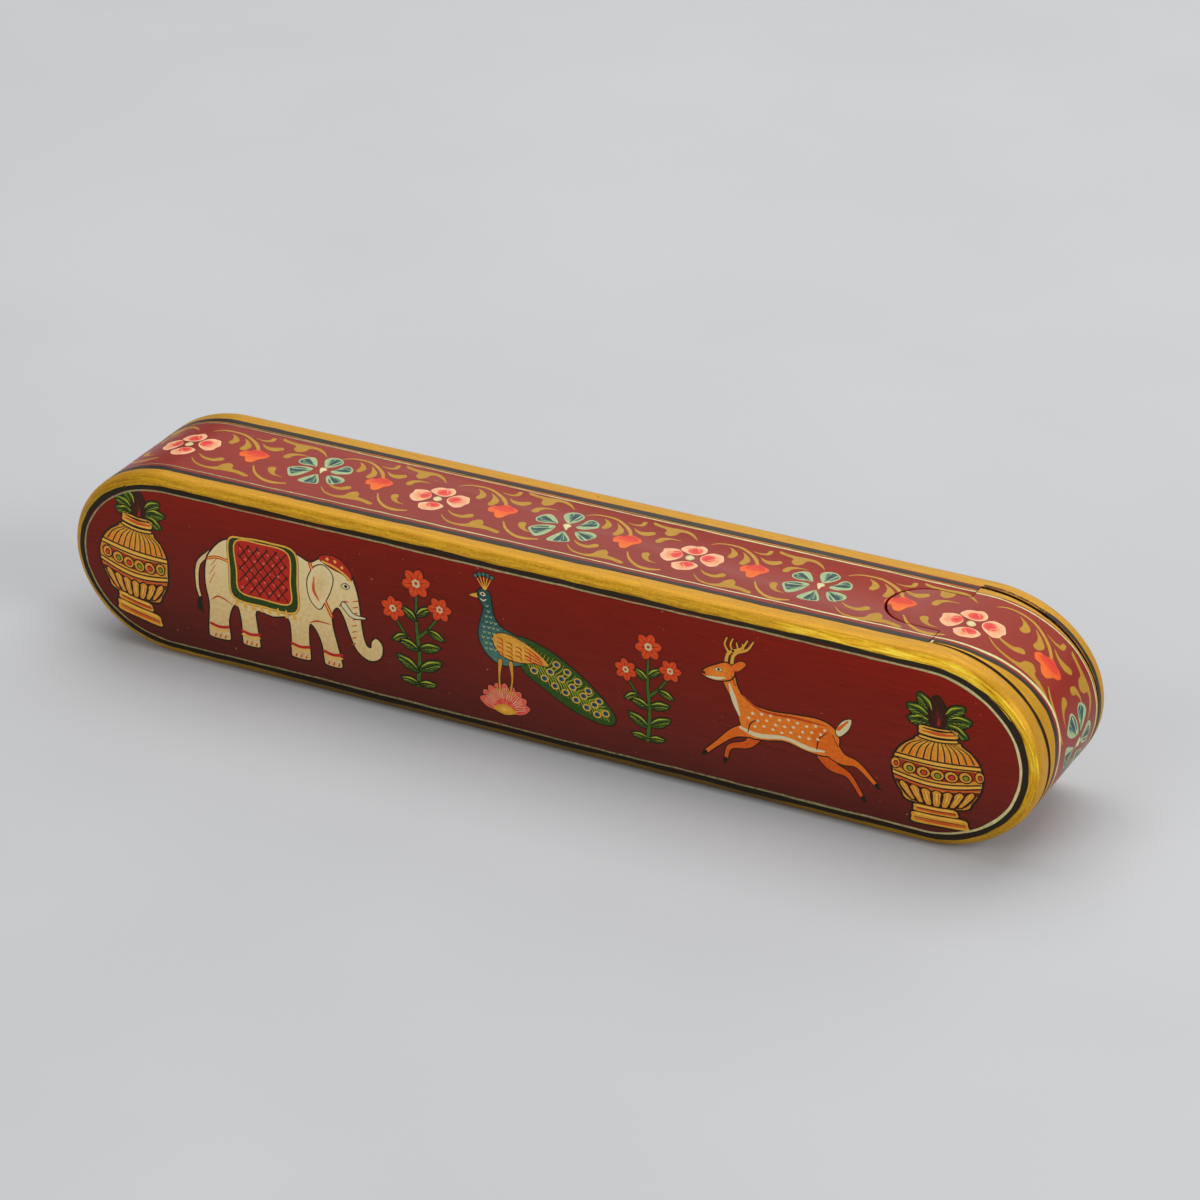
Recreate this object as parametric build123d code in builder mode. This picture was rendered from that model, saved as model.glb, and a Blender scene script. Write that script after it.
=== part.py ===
from build123d import *

import os

# Painted wooden pen box: a flat case with rounded ends, and a tray that slides out of its right end.
# The box stands on its narrow side. X runs along its length to the right, Y to the rear and Z up,
# and the origin is at the middle of the flat that it stands on. All sizes are in millimetres.

# Closed box
length = 240.0
height = 46.0
depth = 38.4
end_reach = 26.5        # from the end of the straight edges to the tip of a rounded end

# Case
board_thickness = 5.4   # the front and the back board
edge_radius = 3.0       # rounding of the boards' outer edges, under the gilding
rail_thickness = 5.0    # the rails between the boards
joint_inset = 1.1       # the rails stop this far inside the straight edges

# Tray
slide_gap = 0.4         # the tray to the boards and to the rails
shoulder_gap = 0.2      # the tray's end block to the ends of the rails, when it is closed
inner_end_gap = 0.5     # the tray's inner end to the closed end of the case
floor_thickness = 3.0
wall_thickness = 3.2
rim_rounding = 0.8      # the open edges of the tray's walls
seam_rounding = 0.6     # the end block's edges beside the boards

# Tongues of the tray's end block, one in each rail
tongue_length = 15.1
tongue_width = 16.4
tongue_gap = 0.25       # beside the tongue
tip_gap = 0.6           # past its round tip, wide enough for a fingernail

# Worked out from the sizes above
straight_half = length / 2 - end_reach
joint_x = straight_half - joint_inset
middle_depth = depth - 2 * board_thickness
rail_inner_z = height / 2 - rail_thickness
tray_depth = middle_depth - 2 * slide_gap
tray_half_height = rail_inner_z - slide_gap
tray_left_x = inner_end_gap - joint_x
tray_length = joint_x - tray_left_x
tray_middle_x = (joint_x + tray_left_x) / 2
floor_front_y = tray_depth / 2 - floor_thickness
wall_depth = tray_depth - floor_thickness
tongue_thickness = rail_thickness + slide_gap


def upright_plane(y):
    """The plane that is seen from the front, centred on the box's outline."""
    return Plane(origin=(0, y, height / 2), x_dir=(1, 0, 0), z_dir=(0, -1, 0))


def full_outline(y):
    """The outline of a face board: two straight edges closed by half ellipses."""
    with BuildSketch(upright_plane(y)) as outline:
        with BuildLine():
            Line((-straight_half, height / 2), (straight_half, height / 2))
            EllipticalCenterArc((straight_half, 0), end_reach, height / 2, -90, arc_size=180)
            Line((straight_half, -height / 2), (-straight_half, -height / 2))
            EllipticalCenterArc((-straight_half, 0), end_reach, height / 2, 90, arc_size=180)
        make_face()
    return outline.sketch


def end_outline(y):
    """The outline of an end block at the right: a half ellipse and the stub of the straight edges."""
    with BuildSketch(upright_plane(y)) as outline:
        with BuildLine():
            Line((joint_x, height / 2), (straight_half, height / 2))
            EllipticalCenterArc((straight_half, 0), end_reach, height / 2, -90, arc_size=180)
            Line((straight_half, -height / 2), (joint_x, -height / 2))
            Line((joint_x, -height / 2), (joint_x, height / 2))
        make_face()
    return outline.sketch


def tongue_outline(plane, width, tip_x, root_x):
    """A strip along X, cut square at its root and rounded to a half circle at its tip."""
    with BuildSketch(plane) as outline:
        with Locations((tip_x + width / 2, 0)):
            Circle(width / 2)
            Rectangle(root_x - tip_x - width / 2, width, align=(Align.MIN, Align.CENTER))
    return outline.sketch


def block(x, y, z, x_size, y_size, z_size):
    """A board with square edges whose middle is at a point, with Z counted from the box's middle."""
    with Locations((x, y, height / 2 + z)):
        Box(x_size, y_size, z_size)


os.makedirs("parts", exist_ok=True)

# Front board, painted on its face and gilded round its edge
with BuildPart() as front_board:
    extrude(full_outline(-depth / 2), amount=-board_thickness)
    fillet(front_board.faces().sort_by(Axis.Y)[0].edges(), radius=edge_radius)

# Back board, its mirror
with BuildPart() as back_board:
    extrude(full_outline(depth / 2), amount=board_thickness)
    fillet(back_board.faces().sort_by(Axis.Y)[-1].edges(), radius=edge_radius)

# Closed left end of the case, glued between the boards
with BuildPart() as left_end_block:
    right_hand = extrude(end_outline(middle_depth / 2), amount=middle_depth, mode=Mode.PRIVATE)
    add(mirror(right_hand, about=Plane.YZ, mode=Mode.PRIVATE))


def rail(side):
    """The rail above (side 1) or below (side -1) the tray, with the round notch for its tongue."""
    rail_right_x = joint_x - shoulder_gap
    block(
        (rail_right_x - joint_x) / 2,
        0,
        side * (height - rail_thickness) / 2,
        rail_right_x + joint_x,
        middle_depth,
        rail_thickness,
    )
    notch_width = tongue_width + 2 * tongue_gap
    notch_tip_x = joint_x - tongue_length - tip_gap
    lower_z = height / 2 + side * (height - rail_thickness) / 2 - rail_thickness / 2
    notch = tongue_outline(Plane.XY.offset(lower_z), notch_width, notch_tip_x, joint_x)
    extrude(notch, amount=rail_thickness, mode=Mode.SUBTRACT)


with BuildPart() as top_rail:
    rail(1)

with BuildPart() as bottom_rail:
    rail(-1)

# End block of the tray: the rounded right end of the box, with a tongue above and one below
with BuildPart() as tray_end_block:
    extrude(end_outline(tray_depth / 2), amount=tray_depth)
    side_edges = tray_end_block.faces().sort_by(Axis.Y)[0].edges()
    side_edges += tray_end_block.faces().sort_by(Axis.Y)[-1].edges()
    shoulder_edges = tray_end_block.faces().sort_by(Axis.X)[0].edges()
    seam_edges = [edge for edge in side_edges if edge not in shoulder_edges]
    fillet(seam_edges, radius=seam_rounding)
    for lower_z in (0, height - tongue_thickness):
        tongue = tongue_outline(
            Plane.XY.offset(lower_z), tongue_width, joint_x - tongue_length, straight_half
        )
        extrude(tongue, amount=tongue_thickness)

# Floor of the tray, against the back board
with BuildPart() as tray_floor:
    block(
        tray_middle_x,
        (tray_depth - floor_thickness) / 2,
        0,
        tray_length,
        floor_thickness,
        2 * tray_half_height,
    )


def tray_wall(side):
    """The long wall of the tray above (side 1) or below (side -1) its inside, eased at its rim."""
    block(
        tray_middle_x,
        floor_front_y - wall_depth / 2,
        side * (tray_half_height - wall_thickness / 2),
        tray_length,
        wall_depth,
        wall_thickness,
    )


with BuildPart() as tray_upper_wall:
    tray_wall(1)
    rim_edges = tray_upper_wall.faces().sort_by(Axis.Y)[0].edges().filter_by(Axis.X)
    fillet(rim_edges, radius=rim_rounding)

with BuildPart() as tray_lower_wall:
    tray_wall(-1)
    rim_edges = tray_lower_wall.faces().sort_by(Axis.Y)[0].edges().filter_by(Axis.X)
    fillet(rim_edges, radius=rim_rounding)

# Inner end of the tray, glued between its walls
with BuildPart() as tray_inner_end:
    block(
        tray_left_x + wall_thickness / 2,
        floor_front_y - wall_depth / 2,
        0,
        wall_thickness,
        wall_depth,
        2 * (tray_half_height - wall_thickness),
    )
    rim_edges = tray_inner_end.faces().sort_by(Axis.Y)[0].edges().filter_by(Axis.Z)
    fillet(rim_edges, radius=rim_rounding)

nodes = {
    "front_board": front_board,
    "back_board": back_board,
    "left_end_block": left_end_block,
    "top_rail": top_rail,
    "bottom_rail": bottom_rail,
    "tray_end_block": tray_end_block,
    "tray_floor": tray_floor,
    "tray_upper_wall": tray_upper_wall,
    "tray_lower_wall": tray_lower_wall,
    "tray_inner_end": tray_inner_end,
}
for label, node in nodes.items():
    node.part.label = label
    export_step(node.part, f"parts/{label}.step")
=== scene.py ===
# %% [markdown]
# # A lacquered pen box, painted by hand
#
# The box is a flat wooden case with rounded ends. Two face boards hold a middle band, and a tray slides
# out of the right end. The wood is lacquered dark red, the boards' edges are gilded, and fine brush work
# covers the band and the face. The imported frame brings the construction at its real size. This script
# gives it its finish: smooth lacquered skins in place of the frame's faceted solids, and every brush stroke
# as a thin raised layer of paint, so that the ornament is real geometry and stays sharp from close by.

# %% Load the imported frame
from functools import partial
from math import acos, cos, degrees, dist, exp, hypot, pi, radians, sin

import bmesh
import bpy
import numpy as np
from mathutils import Euler, Matrix, Vector
from mathutils.geometry import tessellate_polygon


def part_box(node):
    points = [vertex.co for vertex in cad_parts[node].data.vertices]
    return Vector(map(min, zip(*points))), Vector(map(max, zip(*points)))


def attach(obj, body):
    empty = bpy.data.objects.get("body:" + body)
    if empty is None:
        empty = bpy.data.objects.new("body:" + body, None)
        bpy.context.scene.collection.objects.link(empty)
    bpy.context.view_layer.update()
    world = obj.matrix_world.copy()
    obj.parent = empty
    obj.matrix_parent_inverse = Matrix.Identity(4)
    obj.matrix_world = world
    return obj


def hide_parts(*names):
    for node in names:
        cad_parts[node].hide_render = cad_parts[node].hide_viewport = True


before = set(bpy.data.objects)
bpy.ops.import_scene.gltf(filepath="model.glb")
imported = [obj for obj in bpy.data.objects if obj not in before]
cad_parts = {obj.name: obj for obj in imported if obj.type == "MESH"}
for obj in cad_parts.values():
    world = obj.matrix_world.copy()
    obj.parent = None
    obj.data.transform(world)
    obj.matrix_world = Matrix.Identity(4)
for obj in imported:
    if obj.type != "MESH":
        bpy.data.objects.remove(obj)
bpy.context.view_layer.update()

# %% [markdown]
# ## The camera
#
# The picture is taken with a long lens from the front right, a little above. A long lens keeps the long
# sides of the box almost parallel. The place and the angles come from fitting a camera to the box's
# outline, so the object fills the frame as it does in the photograph.

# %% Camera
MM = 0.001
CAMERA_PLACE = (393.6, -716.2, 461.4)
CAMERA_AZIMUTH = 28.33
CAMERA_ELEVATION = 27.97
CAMERA_ROLL = -0.99

lens = bpy.data.cameras.new("camera")
lens.sensor_width = 36.0
lens.lens = 125.4


def new_object(name, data):
    """A new object in the scene."""
    made = bpy.data.objects.new(name, data)
    bpy.context.scene.collection.objects.link(made)
    return made


camera = new_object("camera", lens)
aim = Euler((radians(90 - CAMERA_ELEVATION), 0, radians(CAMERA_AZIMUTH))).to_matrix().to_4x4()
roll = Matrix.Rotation(radians(CAMERA_ROLL), 4, "Z")
camera.matrix_world = Matrix.Translation(Vector(CAMERA_PLACE) * MM) @ aim @ roll
bpy.context.scene.camera = camera
print("camera looks along", [round(part, 3) for part in camera.matrix_world.to_3x3() @ Vector((0, 0, -1))])

# %% [markdown]
# ## The sizes
#
# Everything below is in millimetres, in the frame's own axes: X to the right, Y to the rear, Z up. The
# places are read from the frame's nodes. Only the roundings are repeated, because a box can't tell them.

# %% Sizes from the frame
def node_box(node):
    """The lowest and the highest corner of a node, in millimetres."""
    return [Vector(corner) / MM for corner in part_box(node)]


board_low, board_high = node_box("front_board")
rail_low, rail_high = node_box("top_rail")
block_low, block_high = node_box("tray_end_block")
_, tray_high = node_box("tray_floor")

FACE_Y = -board_low.y  # the painted face is at -FACE_Y, the back at +FACE_Y
SEAM_Y = -board_high.y  # the joint between a face board and the middle band
BLOCK_Y = block_high.y  # the tray's end block is a little thinner than the band
HALF_HEIGHT = board_high.z / 2
MIDDLE_Z = HALF_HEIGHT
END_REACH = 26.5  # semi-axis of the rounded end along X
STRAIGHT = board_high.x - END_REACH
EDGE_RADIUS = 3.0  # rounding of the boards' outer edges
RAIL_END_X = rail_high.x
SHOULDER_X = tray_high.x  # where the tray's end block begins
RAIL_LOW_Z = rail_low.z
TONGUE_TIP_X = block_low.x
TONGUE_RADIUS = 8.2
NOTCH_RADIUS = 8.45
NOTCH_TIP_X = 76.7
TONGUE_LOW_Z = 40.6
SEAM_ROUNDING = 0.6  # how far the end block's edges are eased beside the seam
SEAM_BEND = SEAM_ROUNDING * 0.3  # the middle of an eased edge, as far in from the side as it is down
print(f"straight half {STRAIGHT:.2f}, shoulder {SHOULDER_X:.2f}, tongue tip {TONGUE_TIP_X:.2f}")

# %% [markdown]
# ## Walking round the outline
#
# The band, its border lines and the gilding all follow the outline of the box, so they need a way to ask
# where the point is that lies so many millimetres along it. An ellipse has no simple formula for that, so
# its arc length is added up once in small steps and looked up afterwards. The distance is 0 at the middle
# of the top and grows to the right; it is negative to the left.

# %% The outline by its length
ARC_STEPS = 900
arc_angles = np.linspace(0, pi, ARC_STEPS + 1)
arc_x = STRAIGHT + END_REACH * np.sin(arc_angles)
arc_z = HALF_HEIGHT * np.cos(arc_angles)
arc_lengths = np.concatenate(([0.0], np.cumsum(np.hypot(np.diff(arc_x), np.diff(arc_z)))))
END_LENGTH = float(arc_lengths[-1])
END_MIDDLE = STRAIGHT + END_LENGTH / 2
ROUND = 4 * STRAIGHT + 2 * END_LENGTH
PATH_RADIUS = ROUND / (2 * pi)  # the radius of a circle as long as the outline
print(f"length of the outline {ROUND:.1f} mm, of one rounded end {END_LENGTH:.1f} mm")


def end_angle(along):
    """The ellipse's angle at a distance along the rounded end: 0 at the top, pi at the bottom."""
    return float(np.interp(along, arc_lengths, arc_angles))


def outline(along):
    """The point (x, z) of the outline at a distance round the box, and its outward normal."""
    along = (along + ROUND / 2) % ROUND - ROUND / 2
    side = 1 if along >= 0 else -1
    distance = abs(along)
    if distance <= STRAIGHT:
        return side * distance, HALF_HEIGHT, 0.0, 1.0
    if distance >= STRAIGHT + END_LENGTH:
        return side * (2 * STRAIGHT + END_LENGTH - distance), -HALF_HEIGHT, 0.0, -1.0
    angle = end_angle(distance - STRAIGHT)
    normal = Vector((sin(angle) / END_REACH, cos(angle) / HALF_HEIGHT)).normalized()
    x = STRAIGHT + END_REACH * sin(angle)
    return side * x, HALF_HEIGHT * cos(angle), side * normal.x, normal.y


# %% [markdown]
# ## Three surfaces to paint on
#
# Each surface is a function that takes a place on the flat, (u, v), and a height over the finished box,
# and gives the point in space. The band is bent round the outline. A board's edge starts at its seam,
# goes up its side, over its rounding and on to its face. The face itself is flat. A negative height is
# below the surface: the lacquer lies a few hundredths of a millimetre under it and the paint fills them,
# so the painted box is as large as the frame and no larger.

# %% Surfaces
SIDE_WIDTH = FACE_Y - SEAM_Y - EDGE_RADIUS
ROUNDING_WIDTH = EDGE_RADIUS * pi / 2
GROUND = -0.06  # the lacquer
PAINT_BASE = 0.008  # the lowest layer of brush work, over the lacquer
GILDING = -0.045  # the gold on the edges
LINES = -0.015  # the border lines
ROOT = -0.12  # the underside of every layer of paint, inside the wood


def on_band(u, v, height):
    """A point on the middle band: u round the outline, v along Y."""
    x, z, normal_x, normal_z = outline(u)
    return Vector((x + normal_x * height, v, MIDDLE_Z + z + normal_z * height))


def on_edge(u, v, height, side):
    """A point on a board's edge: u round the outline, v from the seam outwards; side -1 is the front."""
    x, z, normal_x, normal_z = outline(u)
    if v <= SIDE_WIDTH:
        inset = -height
        depth = SEAM_Y + v
    elif v <= SIDE_WIDTH + ROUNDING_WIDTH:
        angle = (v - SIDE_WIDTH) / EDGE_RADIUS
        inset = EDGE_RADIUS - (EDGE_RADIUS + height) * cos(angle)
        depth = FACE_Y - EDGE_RADIUS + (EDGE_RADIUS + height) * sin(angle)
    else:
        inset = EDGE_RADIUS + v - SIDE_WIDTH - ROUNDING_WIDTH
        depth = FACE_Y + height
    return Vector((x - normal_x * inset, side * depth, MIDDLE_Z + z - normal_z * inset))


front_edge, back_edge = partial(on_edge, side=-1), partial(on_edge, side=1)


def on_face(u, v, height):
    """A point on the front face: u along X, v up from the middle."""
    return Vector((u, -FACE_Y - height, MIDDLE_Z + v))


def face_inset(inset):
    """The v of a board's edge at a distance from the outline, as seen from the front."""
    if inset < EDGE_RADIUS:
        return SIDE_WIDTH + EDGE_RADIUS * acos(1 - inset / EDGE_RADIUS)
    return SIDE_WIDTH + ROUNDING_WIDTH + inset - EDGE_RADIUS


# %% [markdown]
# ## Meshes from rings
#
# Most pieces are lofts: closed rings of points, joined one to the next. A board is a loft from its inner
# face to its outer one. Each mesh also keeps a "path" attribute, a place along the piece that the brush
# marks follow. Round the box it is a wide circle, so that the pattern has no seam where the end meets the
# start.

# %% Loft helpers
SAME = 0.01  # places nearer to each other than this are one place


def finish_mesh(name, points, faces, smooth_below=40.0):
    """A mesh in metres with outward faces, smooth but for the edges sharper than an angle."""
    mesh = bpy.data.meshes.new(name)
    mesh.from_pydata([tuple(Vector(point) * MM) for point in points], [], faces)
    work = bmesh.new()
    work.from_mesh(mesh)
    bmesh.ops.recalc_face_normals(work, faces=work.faces)
    work.to_mesh(mesh)
    work.free()
    mesh.polygons.foreach_set("use_smooth", [True] * len(mesh.polygons))
    mesh.set_sharp_from_angle(angle=radians(smooth_below))
    return mesh


def set_path(mesh, path):
    """Keeps for each point its place along the piece, in millimetres."""
    layer = mesh.attributes.new("path", "FLOAT_VECTOR", "POINT")
    layer.data.foreach_set("vector", [part for place in path for part in place])


def set_shade(mesh, shades):
    """Keeps for each point the shade of its paint, from 0 for dark to 1 for light."""
    mesh.attributes.new("shade", "FLOAT", "POINT").data.foreach_set("value", shades)


def loft(rings, closed=False):
    """The points and faces that join closed rings in order. A closed loft joins the last to the first."""
    size = len(rings[0])
    points = [point for ring in rings for point in ring]
    faces = []
    for index in range(len(rings) if closed else len(rings) - 1):
        following = (index + 1) % len(rings)
        for step in range(size):
            beside = (step + 1) % size
            faces.append((index * size + step, index * size + beside,
                          following * size + beside, following * size + step))
    if not closed:
        faces.append(tuple(range(size)))
        faces.append(tuple(range((len(rings) - 1) * size, len(rings) * size)))
    return points, faces


def round_path(along, across):
    """The seamless path place of a point: on a circle as long as the outline, and across it."""
    turn = 2 * pi * along / ROUND
    return PATH_RADIUS * cos(turn), PATH_RADIUS * sin(turn), across


def stations(start, end, straight_step=3.0, arc_step=0.9):
    """Distances round the box from start to end, close together where the outline is curved."""
    places = [start]
    while places[-1] < end - SAME:
        distance = abs((places[-1] + ROUND / 2) % ROUND - ROUND / 2)
        curved = STRAIGHT - 0.5 < distance < STRAIGHT + END_LENGTH + 0.5
        ahead = places[-1] + (arc_step if curved else straight_step)
        for border in (-STRAIGHT - END_LENGTH, -STRAIGHT, STRAIGHT, STRAIGHT + END_LENGTH):
            for turn in (-ROUND, 0.0, ROUND):
                if places[-1] + SAME < border + turn < ahead:
                    ahead = border + turn
        places.append(min(ahead, end))
    return places


def unsteady(along, seed, size):
    """The slight wandering of a hand-drawn line: a few waves that meet again after one turn of the box."""
    waves = ((5, 1.0), (11, 0.8), (23, 0.6), (47, 0.45), (83, 0.3))
    total = sum(weight * sin(2 * pi * count * along / ROUND + 1.7 * seed + 2.3 * count * seed)
                for count, weight in waves)
    return size * total / 2


FINISHES = {}  # for each finish its material and its slot in the record


def add_piece(name, mesh, finish, body, stands_for=()):
    """Adds a finished mesh as a piece of the box that rides on one of its bodies."""
    material, slot = FINISHES[finish]
    mesh.materials.append(material)
    piece = new_object(name, mesh)
    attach(piece, body)
    if stands_for:
        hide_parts(*stands_for)
    print(f"{name}: {len(mesh.polygons)} faces, rides on {body}")


# %% [markdown]
# ## Brush marks, grain and small damage
#
# Lacquer, gilding and paint all show the brush: long faint ridges along the stroke that change the colour a
# little and catch the light. One shader group makes them by stretching a noise along the stroke, and every
# finish sets its own length and strength. A second group makes scattered specks, for dust and pin holes.

# %% Shader groups
BROAD_SCALE = 0.17  # the scale of the broad marks beside that of the fine ones
SPECK_EDGE = 0.03  # how softly a speck ends


def feed(tree, socket, value):
    """Gives an input its value: a fixed one, or another node's output."""
    if isinstance(value, bpy.types.NodeSocket):
        tree.links.new(value, socket)
    else:
        socket.default_value = value


def add_node(tree, kind, inputs=(), **settings):
    """A node with its settings, and inputs given as (name or number, value)."""
    node = tree.nodes.new(kind)
    for key, value in settings.items():
        setattr(node, key, value)
    for label, value in inputs:
        feed(tree, node.inputs[label], value)
    return node


def calculated(tree, operation, *values, **settings):
    """The result of a calculation with fixed numbers or other nodes' outputs."""
    return add_node(tree, "ShaderNodeMath", enumerate(values), operation=operation, **settings).outputs[0]


def spread(tree, value, low, high, top=1.0):
    """A value between low and high, spread out over the range from 0 to top."""
    inputs = [("Value", value), ("From Min", low), ("From Max", high), ("To Max", top)]
    return add_node(tree, "ShaderNodeMapRange", inputs).outputs[0]


def noise(tree, place, scale, detail=2.0):
    """The value of a noise texture."""
    inputs = [("Vector", place), ("Scale", scale), ("Detail", detail)]
    return add_node(tree, "ShaderNodeTexNoise", inputs).outputs["Fac"]


def new_group(name, inputs, outputs):
    """An empty shader group. Its inputs are given as {name: first value}."""
    group = bpy.data.node_groups.new(name, "ShaderNodeTree")
    for label, value in inputs.items():
        kind = "NodeSocketVector" if isinstance(value, tuple) else "NodeSocketFloat"
        group.interface.new_socket(label, in_out="INPUT", socket_type=kind).default_value = value
    for label in outputs:
        group.interface.new_socket(label, in_out="OUTPUT", socket_type="NodeSocketFloat")
    return group, group.nodes.new("NodeGroupInput").outputs, group.nodes.new("NodeGroupOutput").inputs


def make_brush_marks():
    first_values = {"Place": (0, 0, 0), "Scale": 100.0, "Stretch": (1, 1, 1), "Detail": 4.0}
    group, given, result = new_group("brush_marks", first_values, ["Mask", "Broad"])
    stretched = add_node(group, "ShaderNodeVectorMath", [(0, given["Place"]), (1, given["Stretch"])],
                         operation="MULTIPLY").outputs[0]
    fine = noise(group, stretched, given["Scale"], given["Detail"])
    broad = noise(group, stretched, calculated(group, "MULTIPLY", given["Scale"], BROAD_SCALE))
    feed(group, result["Mask"], spread(group, fine, 0.3, 0.7))
    feed(group, result["Broad"], spread(group, broad, 0.35, 0.65))
    return group


def make_specks():
    group, given, result = new_group(
        "specks", {"Place": (0, 0, 0), "Scale": 100.0, "Threshold": 0.7}, ["Mask"])
    upper = calculated(group, "ADD", given["Threshold"], SPECK_EDGE)
    spots = noise(group, given["Place"], given["Scale"])
    feed(group, result["Mask"], spread(group, spots, given["Threshold"], upper))
    return group


brush_marks = make_brush_marks()
specks = make_specks()
print("shader groups:", brush_marks.name, specks.name)


# %% [markdown]
# ## The finishes
#
# A colour is written in steps from 0 to 255, as a screen shows it, and turned into the linear light that
# Blender works with. Every finish is the same recipe with other values: a ramp of three tones, the brush
# marks that move along that ramp, a sheen and a shallow relief.

# %% Material helpers
def colour(red, green, blue):
    """A screen colour as linear light."""
    parts = [part / 255 for part in (red, green, blue)]
    return [part / 12.92 if part <= 0.04045 else ((part + 0.055) / 1.055) ** 2.4 for part in parts] + [1.0]


def place_node(tree, place="object"):
    """The place on a material: object coordinates in metres, or an attribute."""
    if place == "object":
        return add_node(tree, "ShaderNodeTexCoord").outputs["Object"]
    return add_node(tree, "ShaderNodeAttribute", attribute_name=place).outputs["Vector"]


def part_of(tree, place, axis):
    """One of the three coordinates of a place."""
    return add_node(tree, "ShaderNodeSeparateXYZ", [(0, place)]).outputs[axis]


def ramp_node(tree, factor, tones):
    """A colour ramp through a dark, a middle and a light tone."""
    node = add_node(tree, "ShaderNodeValToRGB", [("Fac", factor)])
    elements = node.color_ramp.elements
    elements.new(0.5)
    for element, position, tone in zip(elements, (0.0, 0.5, 1.0), tones):
        element.position = position
        element.color = colour(*tone)
    return node.outputs["Color"]


def placed(tree, group, *values):
    """The outputs of a shader group in a material, given its inputs in order."""
    return add_node(tree, "ShaderNodeGroup", enumerate(values), node_tree=group).outputs


def mixed(tree, factor, first, second):
    """A mix of two colours, each of them fixed or another node's output."""
    inputs = [("Factor", factor), (6, first), (7, second)]
    return add_node(tree, "ShaderNodeMix", inputs, data_type="RGBA").outputs[2]


def start_material(name, values):
    """A material with its tree and its shader, some of whose inputs are set."""
    material = bpy.data.materials.new(name)
    material.use_nodes = True
    tree = material.node_tree
    shader = tree.nodes["Principled BSDF"]
    for label, value in values.items():
        feed(tree, shader.inputs[label], value)
    return material, tree, shader


def complete(tree, shader, tone, height, depth):
    """Gives a shader its colour and a relief: height is from 0 to 1, and depth in metres."""
    feed(tree, shader.inputs["Base Color"], tone)
    bump = add_node(tree, "ShaderNodeBump", [("Height", height), ("Strength", 1.0), ("Distance", depth)])
    feed(tree, shader.inputs["Normal"], bump.outputs["Normal"])


# %% Lacquer
VARNISH = (1.0, 0.78, 0.44, 1.0)  # old varnish mirrors the light a little warm
FACE_TOP, FACE_FOOT = 41.0, 5.0  # the front face is darker from its top to its foot, partly in its paint and partly as painted shade, in millimetres
RED = ((118, 18, 10), (134, 24, 13), (151, 32, 18))
FACE_RED = ((114, 10, 5), (138, 16, 7), (164, 27, 15))
FOOT_RED_WITH_SHADE = ((64, 17, 16), (78, 24, 23), (94, 32, 30))
DUST = (160, 96, 88)


def make_lacquer(name, shaded):
    """Dark red paint brushed along the box. A shaded one grows darker downwards, partly as its paint does and
    partly as painted shade.
    """
    material, tree, shader = start_material(
        name, {"Roughness": 0.34, "Specular IOR Level": 0.24 if shaded else 0.3, "Specular Tint": VARNISH})
    place = place_node(tree)
    marks = placed(tree, brush_marks, place, 2200.0, (0.05, 1, 1))
    clouds = placed(tree, brush_marks, place, 120.0, (0.25, 1, 1))
    blend = mixed(tree, 0.6, marks["Mask"], clouds["Broad"])
    tone = ramp_node(tree, blend, FACE_RED if shaded else RED)
    # The face's darker foot tone is partly its paint and partly painted shade
    if shaded:
        rise = spread(tree, part_of(tree, place, "Z"), FACE_FOOT * MM, FACE_TOP * MM)
        tone = mixed(tree, rise, ramp_node(tree, blend, FOOT_RED_WITH_SHADE), tone)
    dust = placed(tree, specks, place, 900.0, 0.745)
    complete(tree, shader, mixed(tree, dust["Mask"], tone, colour(*DUST)), clouds["Broad"], 0.00002)
    return material


FINISHES["lacquer"] = make_lacquer("lacquer", False), "lacquer"
FINISHES["face_lacquer"] = make_lacquer("face_lacquer", True), "lacquer"
print("finishes:", ", ".join(FINISHES))


# %% Gilding
FACET_BORDER = 4.5  # where the edge turns from the side to the face, measured from the seam
FACET_BLEND = 0.35
HIGHLIGHT_AIM = (0.40, 0.916)  # where the front gets its painted highlight, as a direction on the path's circle
HIGHLIGHT_FROM, HIGHLIGHT_TO = 0.83, 0.98
UNDERSIDE_SHADE_FROM, UNDERSIDE_SHADE_TO = -0.3, -0.8  # where painted shade sets in underneath, as parts of the circle's radius
SIDE_GOLD = ((182, 126, 20), (195, 140, 27), (209, 155, 38))
PLAIN_GOLD = ((148, 100, 6), (187, 136, 12), (214, 165, 28))
HIGHLIGHT_GOLD = ((160, 104, 12), (228, 174, 22), (255, 232, 78))
UNDERSIDE_SHADE, HOLE = (74, 50, 18), (110, 60, 28)


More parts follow.
